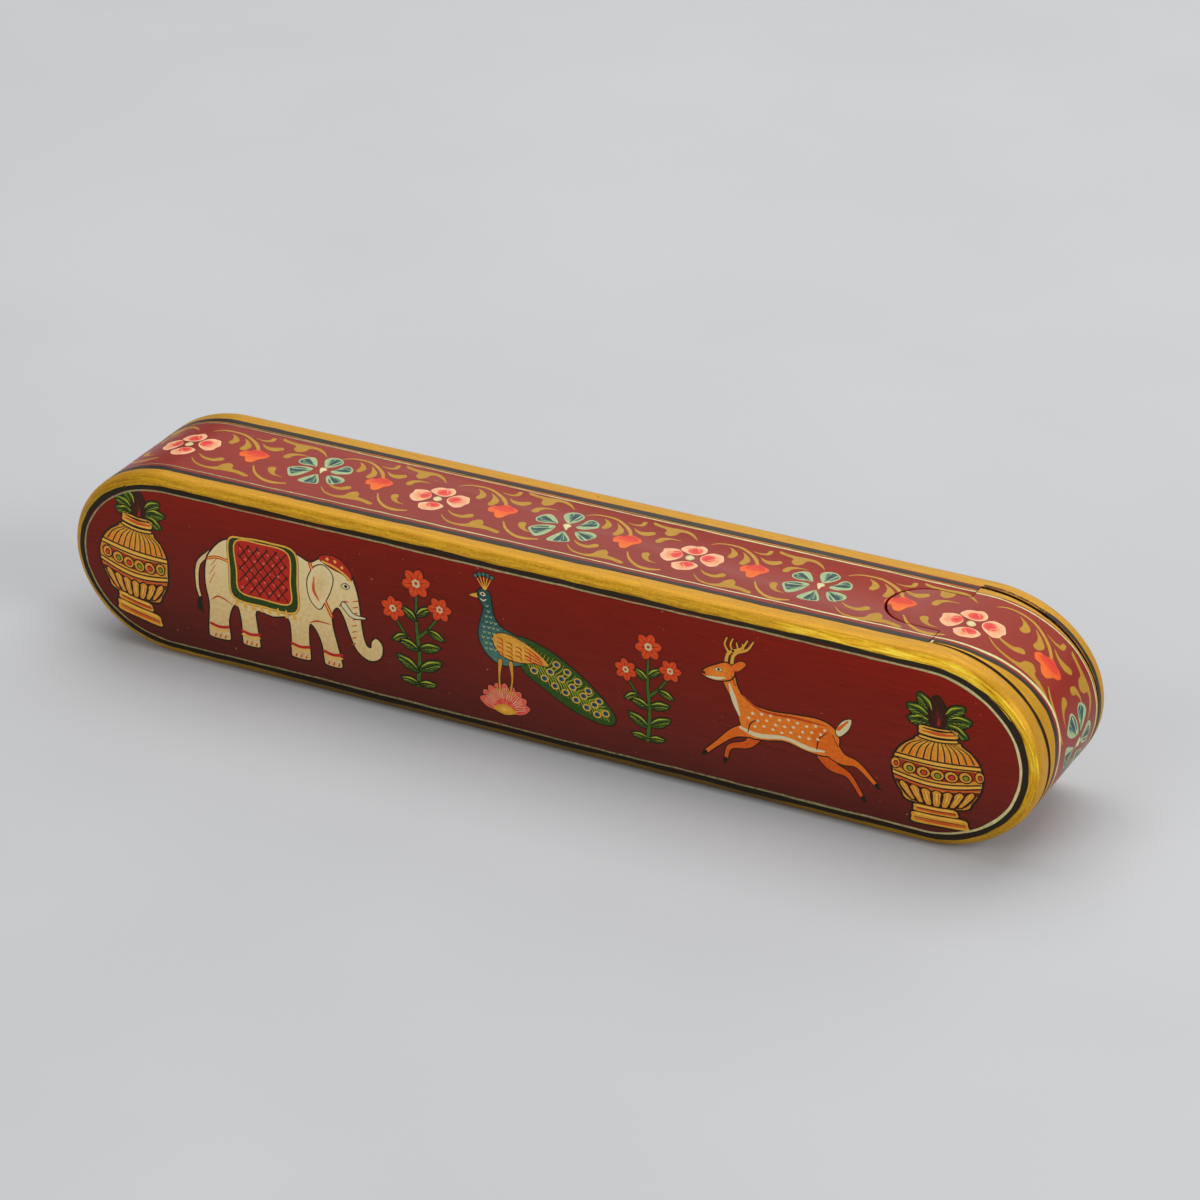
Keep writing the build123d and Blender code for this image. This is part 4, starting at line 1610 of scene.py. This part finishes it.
# %% Plants
def blossom(art, level, centre, size, turn=0, petals=6):
    """An open flower of pointed petals, orange-red at the rim and yellow at the heart."""
    for petal in range(petals):
        angle = turn + 360 * petal / petals
        outline = turned([(0.3, 0), (1.4, 0.95), (2.5, 0.9), (3.2, 0), (2.5, -0.9), (1.4, -0.95)], angle,
                         size, centre)
        art.inked_fill("orange", level, outline, 0.2, 0.8, ink=0.45)
        art.stroke(
            "red", level + 2, turned([(1, 0), (2.6, 0)], angle, size, centre), (0.45 * size, 0.12), 0.4)
    art.dot("cream", level + 2, centre, 0.95 * size, 1, 0.3, 0.9)
    art.dot("rust", level + 3, centre, 0.4 * size)


def plant(art):
    """A tall stem that parts in three, each with a blossom, and pairs of leaves."""
    for points, widths in (
            ([(0, -15.5), (0.6, -8), (0.1, 0), (0.4, 8)], (1, 0.8, 0.5)),
            ([(0.5, -7), (-2.6, -3.5), (-5.4, 0.6)], (0.7, 0.4)),
            ([(0.3, -3.5), (3.2, -0.6), (5.8, 3)], (0.7, 0.4))):
        art.inked_stroke("green", 1, points, widths, 0.7, 0.45)
    for root, angle, length, width in (
            ((0.3, -12), 150, 6.4, 2.5), ((0.5, -11.4), 28, 6.6, 2.5), ((0.5, -6.6), 158, 5.4, 2.1),
            ((0.6, -6), 14, 5.6, 2.2), ((-2.4, -3.4), 205, 4.2, 1.8), ((3, -1), -22, 4.4, 1.8),
            ((0.1, 0.8), 140, 4.4, 1.8), ((0.2, 2), 40, 4.4, 1.8), ((0.2, -15), 172, 4.6, 1.6),
            ((0.2, -15), 8, 4.6, 1.6)):
        leaf(art, 2, root, angle, length, width)
    blossom(art, 3, (0.4, 10.2), 1.15, 12)
    blossom(art, 3, (-5.8, 2.6), 0.95, 40)
    blossom(art, 3, (6.2, 5), 0.95, 5)


# %% The elephant
ELEPHANT = [
    (-14, 20.4), (-15.6, 17.4), (-16.1, 12.5), (-15.4, 8), (-15.7, 4), (-15.9, 0.9), (-15.3, 0), (-11.3, 0),
    (-10.8, 1), (-11, 4.5), (-9.9, 8), (-8.5, 8.8), (-7.7, 5), (-7.7, 0.9), (-7.2, 0), (-4, 0), (-3.6, 1),
    (-4.1, 5), (-4, 8.6), (0, 8.2), (3.6, 8.8), (4.3, 5), (4.1, 0.9), (4.6, 0), (8.1, 0), (8.6, 1), (8.4, 5),
    (8.8, 8.6), (10.4, 7.4), (11.7, 4.2), (12, 0.9), (12.6, 0), (15.7, 0), (16.1, 1), (15.2, 5), (14.2, 9.6),
    (14.4, 12.6), (15.8, 14), (17.2, 12), (18.4, 8.4), (20, 5), (22.8, 3.4), (25.4, 4.6), (25.9, 7.4),
    (24.6, 8.8), (23.5, 7.8), (23.3, 6.4), (22.2, 6.6), (21.4, 9), (21, 12.6), (20.7, 16.4), (20, 19.8),
    (18.6, 22.8), (16.4, 24.8), (13.8, 25.2), (11.4, 23.8), (9.4, 22.8), (6, 24), (0, 24.8), (-6, 24.5),
    (-11, 23.2)]
CLOTH = [(-9.8, 23.7), (-10, 17), (-9.4, 10.6), (-2, 9.9), (5.6, 10.4), (6.3, 17), (6, 24.2),
         (0, 25.1), (-6, 24.8)]
CLOTH_FIELD = [(-8.2, 23.6), (-8.3, 17), (-7.8, 12.2), (-2, 11.6), (4.2, 12), (4.6, 17), (4.4, 23.6),
               (-2, 24.4)]


def elephant_cloth(art):
    """A green-bordered red cloth with a lattice, dots and tassels."""
    art.inked_fill("green", 3, CLOTH, 0.25, ink=0.6)
    art.stroke("ochre", 5, CLOTH, 0.4, 0.8, closed=True)
    art.fill("red", 5, CLOTH_FIELD, 0.4)
    art.stroke("ochre", 6, CLOTH_FIELD, 0.3, 0.8, closed=True)
    for step in range(-3, 6):
        for lean in (1, -1):
            low, high = (-1.8 + 2.2 * step - 5.8 * lean, 12.2), (-1.8 + 2.2 * step + 3.6 * lean, 23.4)
            line = [(low[0] + (high[0] - low[0]) * t, low[1] + (high[1] - low[1]) * t)
                    for t in np.linspace(0, 1, 25)]
            inside = [spot for spot in line if -7.9 < spot[0] < 4.2]
            if len(inside) > 3:
                art.stroke("wine", 6, [inside[0], inside[-1]], 0.3, 0.3)
    for row in range(5):
        for column in range(6):
            x = -7 + 2.2 * column + (1.1 if row % 2 else 0)
            if x < 4:
                art.dot("rose", 6, (x, 13.4 + 2.2 * row), 0.32, 1, 0.7)
    for tassel in range(8):
        x = -8.8 + 2 * tassel
        art.stroke("ochre", 4, [(x, 10.4), (x + 0.1, 8.9)], (0.3, 0.8), 0.7)


def elephant_head(art):
    """The ear, the cap, the eye, the tusk and the folds of the trunk."""
    art.inked_fill(
        "hide", 3, [(13, 22.8), (10.6, 22), (8.8, 18.6), (9.2, 14.6), (11.2, 12.6), (12.6, 14.4),
        (14.2, 17.6), (14.8, 20.8)], 0.75, 0.35, ink=0.5)
    art.stroke("rust", 5, [(10.4, 19.8), (10.2, 16.6), (11.4, 14.4)], (0.2, 0.7, 0.2), 0.8)
    art.inked_fill(
        "red", 3, [(11.8, 24.4), (14, 25.5), (16.8, 25), (19.2, 22.6), (19, 20.8), (17.4, 22), (14.6, 22.8)],
        0.4, ink=0.45)
    art.stroke("ochre", 5, [(12.6, 23.8), (15.2, 23.2), (17.8, 21.9), (19.2, 20.6)], 0.45, 0.8)
    for spot in ((13.8, 24.6), (15.6, 24.4), (17.2, 23.4)):
        art.dot("ochre", 5, spot, 0.35, 1, 0.9)
    art.inked_fill("cream", 4, [(16.9, 19.2), (17.8, 19.9), (18.7, 19.3), (17.8, 18.7)], 0.9, ink=0.35)
    art.dot("black", 6, (17.9, 19.3), 0.38)
    art.inked_stroke("cream", 4, [(17.2, 14.9), (19.2, 12.9), (22.2, 12.9)], (1.2, 0.9, 0.25), 0.9, 0.45)
    for ring in range(8):
        share = ring / 7
        x, y = 20.9 - 1.1 * share, 16.6 - 10 * share
        art.stroke("rust", 3, [(x - 0.2, y), (x - 1.6 + 0.4 * share, y - 0.5)], (0.3, 0.15))


def elephant(art):
    """A pale elephant walking to the right, with a cloth, a cap, straps and anklets."""
    art.inked_stroke("hide", 0, [(-14.6, 19.6), (-17.6, 16.4), (-18.2, 11.6), (-17.6, 8.4)], (1, 0.5), 0.4)
    art.stroke("black", 2, [(-17.6, 8.6), (-17.9, 6.6), (-17.2, 5)], (0.5, 1.5, 0.3))
    art.inked_fill("hide", 1, ELEPHANT, 0.75, foot=0.25, ink=0.75, steps=3)
    for points in (
            [(-15, 8.6), (-13, 9.8), (-9.8, 8.6)], [(-4.2, 8.6), (-5.8, 10.2)], [(3.6, 9), (5.6, 10.8)],
            [(8.8, 8.8), (10.6, 9.6), (13.8, 9.6)], [(-15.2, 12.4), (-13.6, 15.2)],
            [(-15, 14.6), (-13.4, 17)], [(-14.6, 16.6), (-13, 18.6)],
            [(16, 14.2), (17.2, 15.6), (18.4, 15.8)]):
        art.stroke("rust", 3, points, (0.15, 0.4, 0.15), 0.5)
    for leg in (-13.3, -5.7, 6.3, 14.1):
        art.stroke("red", 3, [(leg - 2.1, 3), (leg, 2.6), (leg + 2.1, 3)], 0.7, 0.4)
        art.stroke("ochre", 4, [(leg - 2.1, 2.2), (leg, 1.8), (leg + 2.1, 2.2)], 0.4, 0.8)
        for toe in (-1.2, 0, 1.2):
            art.stroke("rust", 3, [(leg + toe, 0.3), (leg + toe + 0.3, 1)], (0.45, 0.2), 0.7)
    elephant_cloth(art)
    for points, width in (([(9.6, 22.6), (11.4, 17.6), (14.2, 11.6)], 0.9),
                          ([(-10, 18.6), (-13, 18.9), (-15.2, 18.2)], 0.7)):
        art.stroke("red", 3, points, width, 0.4)
        art.stroke("ochre", 4, points, width / 3, 0.8)
    elephant_head(art)


# %% The peacock
PEACOCK = [
    (-6.9, 26.8), (-5.2, 26), (-4.7, 23.4), (-4.2, 20.2), (-2.4, 17.4), (1.5, 15.8), (5.4, 14.2),
    (6.4, 11.4), (4.2, 8.4), (0, 6.7), (-4.2, 7.2), (-7.4, 10.2), (-8.6, 14.2), (-7.8, 18.2), (-7, 21.4),
    (-7.7, 23.2), (-8.7, 24.8), (-8.2, 26.2)]
TRAIN = [(2, 15.2), (8, 14.9), (15, 12), (22, 7.4), (28.4, 1.4), (29.6, -2), (26.4, -3.4),
         (18.5, -1.6), (10, 2.6), (3.4, 7.2)]
WING = [(-4.6, 13.8), (-1.6, 15.6), (3, 14.8), (8, 12.4), (11.2, 9.4), (7.2, 9.2), (2.2, 8.4), (-2.6, 9.6)]


def lotus(art, centre):
    """An open lotus of nine pink petals round a golden heart."""
    for petal in range(-4, 5):
        angle = 90 - 19 * petal
        outline = turned([(0, 0), (2.6, 1.5), (5.4, 1.5), (7.4, 0), (5.4, -1.5), (2.6, -1.5)], angle, 1,
                         centre)
        art.inked_fill("rose", 1 if petal % 2 else 2, outline, 0.85, 0.2, ink=0.5)
        for side in (-0.6, 0, 0.6):
            art.stroke(
                "cream", 4, turned([(3, side), (6, side * 0.8)], angle, 1, centre), (0.12, 0.3, 0.12), 0.7)
    x, y = centre
    art.inked_fill(
        "ochre", 3, [(x - 3.4, y - 0.2), (x, y + 1.4), (x + 3.4, y - 0.2), (x, y - 1.6)], 0.4, 0.9, ink=0.5)


TRAIN_EYES = ((6, 11.6, 27, 0), (5, 13.4, 25.2, 0.6), (7, 7, 24.6, -0.6))  # count, from, to and row


def in_train(x, row):
    """The point of the train at x, in a row from -1 at its lower edge to 1 at its upper one."""
    middle = np.interp(x, (3, 16, 28), (11.5, 6.1, -0.7))
    return x, float(middle + row * np.interp(x, (5, 14, 24, 30), (4.2, 5.4, 4, 0.8)))


def peacock_train(art):
    """The closed train: green barbs with three rows of eyes."""
    art.inked_fill("green", 2, TRAIN, 0.5, 0.3)
    for barb in range(22):
        x = 3.6 + 1.04 * barb
        for side in (-1, 1):
            art.stroke(
                "lime", 4, [in_train(x, 0), in_train(x + 1.7, 0.42 * side), in_train(x + 2.6, 0.84 * side)],
                (0.34, 0.26, 0.1), 0.35)
    for count, start, stop, row in TRAIN_EYES:
        for eye in range(count):
            x, y = in_train(start + (stop - start) * eye / (count - 1), row)
            art.dot("ochre", 5, (x, y), 1.15, 0.85, 0.7)
            art.dot("teal", 6, (x, y), 0.8, 0.85, 0.6)
            art.dot("blue", 7, (x - 0.1, y), 0.42, 0.9, 0.4)


def peacock_scales(art):
    """Rows of small pale crescents on the neck and the breast."""
    for row in range(9):
        y = 22.6 - 1.5 * row
        left = float(np.interp(y, [10, 14.2, 18.2, 21.4], [-7.2, -8.3, -7.5, -6.8]))
        right = float(np.interp(y, [10, 15, 17.4, 20.2, 23.4], [-2, -1.6, -2.8, -4.4, -4.9]))
        for column in range(max(2, int((right - left) / 1.3))):
            x = left + 0.9 + 1.3 * column + (0.4 if row % 2 else 0)
            if x < right - 0.3:
                art.stroke("mint", 5, [(x - 0.45, y), (x, y - 0.45), (x + 0.45, y)], (0.12, 0.3, 0.12), 0.8)


def peacock_wing(art):
    """The folded wing, scaled in front and with long red quills behind."""
    art.inked_fill("ochre", 4, WING, 0.5, 0.8, ink=0.5)
    for row in range(4):
        for column in range(4 - row // 2):
            x, y = -2.6 + 2.6 * row, 13.6 - 0.7 * row - 1.25 * column
            if y > 9:
                art.stroke("rust", 6, [(x - 0.9, y + 0.5), (x + 0.6, y + 0.2), (x + 0.9, y - 0.7)],
                           (0.2, 0.4, 0.2), 0.5)
    for quill in range(4):
        art.stroke("red", 6, [(4.4, 13.2 - quill * 1.1), (7.6, 11.6 - quill * 0.8), (9.6, 10 - 0.3 * quill)],
                   (0.2, 0.4, 0.15), 0.5)


def peacock(art):
    """A peacock with its train closed, facing left, standing on a lotus."""
    lotus(art, (-1.6, -6))
    for x, lean in ((-2.6, -0.4), (0.4, 0.3)):
        art.inked_stroke("ochre", 4, [(x, 7.6), (x + lean, 3.2), (x - 0.3, -0.6)], (1.2, 0.5, 0.5), 0.4, 0.35)
        for toe in (-1.5, 0, 1.3):
            art.stroke("ochre", 5, [(x - 0.3, -0.5), (x - 0.3 + toe, -1.5)], (0.45, 0.2), 0.4)
    peacock_train(art)
    art.inked_fill("teal", 3, PEACOCK, 0.4, foot=0.85)
    peacock_scales(art)
    peacock_wing(art)
    art.inked_fill("ochre", 3, [(-8.5, 25.4), (-10.9, 24.3), (-8.5, 24.1)], 0.6, ink=0.4)
    art.inked_fill("cream", 4, [(-7.9, 25.4), (-7, 26), (-6.2, 25.3), (-7, 24.8)], 0.9, ink=0.25)
    art.dot("black", 6, (-7.1, 25.4), 0.34)
    art.stroke("cream", 6, [(-7.9, 24), (-6.9, 23.6), (-6, 24.2)], (0.15, 0.4, 0.15), 0.9)
    for plume in range(5):
        angle = radians(62 + 16 * plume)
        tip = (-6.4 + 4.4 * cos(angle), 26.6 + 4.4 * sin(angle))
        art.stroke("ochre", 3, [(-6.4, 26.4), tip], (0.3, 0.2), 0.7)
        art.dot("black", 3, tip, 0.75)
        art.dot("teal", 4, tip, 0.5, 1, 0.8)


# %% The deer
DEER = [(-13.4, 13.2), (-12.2, 9.6), (-9.4, 6.6), (-4, 5.6), (3, 6.2), (9, 6.4), (12.8, 4.6), (13.6, 1),
        (11.2, -2.4), (6, -2.6), (0, -1.4), (-5.4, -2.4), (-9.6, -2.4), (-11.6, 0.6), (-12.4, 4.2),
        (-14.6, 8), (-16.2, 11.6)]
DEER_LEGS = [
    ([(-8.6, -0.6), (-13.2, -2.4), (-17.2, -6), (-20.6, -9.4)], (3.8, 2.2, 1.2, 0.9), 2, 0.45),
    ([(-7.4, -1.2), (-9.6, -4.6), (-14.2, -6.4), (-15.4, -10)], (3.8, 2, 1.2, 0.9), 1, 0.2),
    ([(9.6, 1.6), (14, -2.2), (18.4, -3), (23.2, -7.2)], (6, 3.2, 1.5, 0.9), 2, 0.45),
    ([(8.8, 0.4), (11.6, -4.6), (16.2, -6.4), (19.8, -11.4)], (5.8, 3, 1.4, 0.9), 1, 0.2),
]


def beyond(tip, before, reach=1.2):
    """The point a little beyond a tip, in the direction from the point before it."""
    size = dist(tip, before)
    return tip[0] + (tip[0] - before[0]) / size * reach, tip[1] + (tip[1] - before[1]) / size * reach


def deer_head(art):
    """The head with its ear, eye, nose and branched antlers."""
    art.inked_fill(
        "fur", 3, [(-21.4, 11.2), (-20.6, 12.8), (-17.6, 14.6), (-15.2, 15.6), (-13.2, 14.4), (-13.6, 12),
        (-15.8, 10.8), (-18.6, 10.4)], 0.5, 0.8)
    art.stroke("cream", 5, [(-20.2, 10.9), (-17.6, 11), (-15.4, 11.6)], (0.4, 0.8, 0.3), 0.8)
    art.inked_fill("fur", 4, [(-14, 14.8), (-11.6, 16.8), (-10.2, 16.2), (-12.4, 14)], 0.5, ink=0.45)
    art.inked_fill("cream", 5, [(-18.1, 13.3), (-17.2, 13.9), (-16.3, 13.4), (-17.2, 12.9)], 0.9, ink=0.25)
    art.dot("black", 7, (-17.2, 13.4), 0.36)
    art.dot("black", 5, (-21, 11.7), 0.42)
    art.stroke("black", 5, [(-20.6, 11.1), (-18.8, 11.2)], (0.2, 0.15))
    for side in (0, 1.5):
        for points, widths in (
                ([(-15.4, 15.2), (-14.6, 18.4), (-11.4, 20.2), (-9.8, 22.6)], (0.9, 0.7, 0.4)),
                ([(-14.4, 18.2), (-15.6, 20.4), (-15, 22.4)], (0.6, 0.35)),
                ([(-12.2, 19.8), (-12.6, 21.6)], (0.5, 0.3))):
            art.inked_stroke("ochre", 1, [(x + side, y) for x, y in points], widths, 0.6, 0.4)


def deer(art):
    """A spotted deer at full leap, facing left, orange above and cream below."""
    for points, widths, level, shade in DEER_LEGS:
        art.inked_stroke("fur", level, points, widths, shade, 0.6)
        art.stroke("black", 4, [points[-1], beyond(points[-1], points[-2])], (1.1, 0.5))
    art.inked_fill("fur", 2, DEER, 0.6)
    deer_head(art)
    art.stroke("cream", 4, [(-11.6, -0.6), (-7, -1.6), (0, -0.6), (6, -1.8), (10, -1.6)],
               (0.6, 1.2, 0.9, 1.1, 0.4), 0.8)
    art.stroke("cream", 5, [(-14.4, 10.2), (-13.2, 6.4), (-11.8, 2.6)], (0.5, 1.3, 0.5), 0.8)
    art.stroke("rust", 4, [(-11.6, 8.4), (-6, 5.2), (3, 5.4), (10.6, 5.2)], (0.3, 0.8, 0.3), 0.5)
    for count, start, height in ((9, -8.4, 4.2), (9, -9.4, 2.5), (8, -7.8, 0.9)):
        for spot in range(count):
            x = start + 2.3 * spot
            art.dot("cream", 5, (x, height + 0.35 * sin(x)), 0.42, 0.8, 0.9)
    for points in ([(8, -1.6), (8.6, 1.4), (10.8, 3.6)], [(-9.6, -1.4), (-9, 1), (-7.4, 2.4)],
                   [(12, 3.4), (13.4, 0.4)], [(-13.8, 12.4), (-12.8, 10)]):
        art.stroke("black", 5, points, (0.2, 0.35, 0.15))
    art.inked_fill("cream", 3, [(12.8, 4.6), (14.4, 7.4), (16.6, 8.4), (16, 5.8), (13.8, 3.4)], 0.8, ink=0.5)
    art.stroke("fur", 5, [(13.4, 5.2), (15.8, 7.8)], (0.9, 0.5), 0.4)


# %% The picture
picture = Painting()
for draw, size, place in ((elephant, 1.1, (-66, -15)), (plant, 1, (-28.5, 1)), (peacock, 0.88, (-5, -9.8)),
                          (plant, 0.9, (29, 0)), (deer, 0.92, (62, -4.5))):
    picture.put(scale=(size, size), move=place)
    draw(picture)
lay_on_face("picture", picture)

# %% [markdown]
# ## The tray's bare wood
#
# Inside, the tray is plain brown wood that only shows when it is pulled out. The frame's own boards are the
# right shape, so they stay and only get a grained finish: growth rings stretched along the board and fine
# pores.

# %% Bare wood
WOOD = ((122, 82, 50), (164, 118, 76), (190, 146, 100))
material, tree, shader = start_material("bare_wood", {"Roughness": 0.62})
place = place_node(tree)
rings = placed(tree, brush_marks, place, 420.0, (0.08, 1, 1), 6.0)
pores = placed(tree, brush_marks, place, 2600.0, (0.05, 1, 1), 2.0)
blend = mixed(tree, 0.35, rings["Mask"], pores["Mask"])
complete(tree, shader, ramp_node(tree, blend, WOOD), blend, 0.00008)
for node in ("tray_floor", "tray_upper_wall", "tray_lower_wall", "tray_inner_end"):
    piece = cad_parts[node]
    piece.data.materials.clear()
    piece.data.materials.append(material)
print("bare wood on the four boards of the tray")

# %% [markdown]
# ## Floor and light
#
# A plain pale floor, and four broad soft lamps. One hangs over the box and lights the band from above. The
# largest stands behind it and is mirrored in the lacquer, so that the top looks paler than the face. Two
# weaker ones fill in from the front left and from the right. The world is an even pale grey.

# %% Stage
FLOOR_HALF = 3.0
mesh = bpy.data.meshes.new("floor")
mesh.from_pydata([(x * FLOOR_HALF, y * FLOOR_HALF, 0) for x, y in ((-1, -1), (1, -1), (1, 1), (-1, 1))], [],
                 [(0, 1, 2, 3)])
material, tree, shader = start_material("floor_paper", {"Roughness": 0.9})
clouds = placed(tree, brush_marks, place_node(tree), 60.0)["Broad"]
feed(tree, shader.inputs["Base Color"], mixed(tree, clouds, colour(187, 188, 190), colour(190, 191, 193)))
mesh.materials.append(material)
floor = new_object("floor", mesh)

# For each lamp: its name, its place, the point it is aimed at, its width and height in metres, and its watts
LAMPS = [
    ("overhead", (-0.1, 0.4, 1.3), (0, 0, 0), 1.6, 1.1, 14),
    ("back_sheen", (0.1, 1.75, 0.85), (0, 0, 0.04), 2.8, 1.1, 10),
    ("front_fill", (-0.6, -1.5, 0.9), (0, 0, 0.02), 1.2, 0.9, 8),
    ("right_fill", (1.35, -0.25, 0.7), (0.05, 0, 0.02), 0.9, 0.9, 11),
]
for name, place, target, width, height, power in LAMPS:
    lamp = bpy.data.lights.new(name, "AREA")
    lamp.shape = "RECTANGLE"
    lamp.size, lamp.size_y = width, height
    lamp.energy = power
    holder = new_object(name, lamp)
    holder.location = place
    holder.rotation_euler = (Vector(target) - Vector(place)).to_track_quat("-Z", "Y").to_euler()

world = bpy.data.worlds.new("studio")
world.use_nodes = True
sky = world.node_tree.nodes["Background"].inputs
sky["Color"].default_value = (0.86, 0.88, 0.9, 1)
sky["Strength"].default_value = 0.3
bpy.context.scene.world = world
bpy.context.scene.view_settings.view_transform = "Standard"
print("floor, four lamps and the world are set")
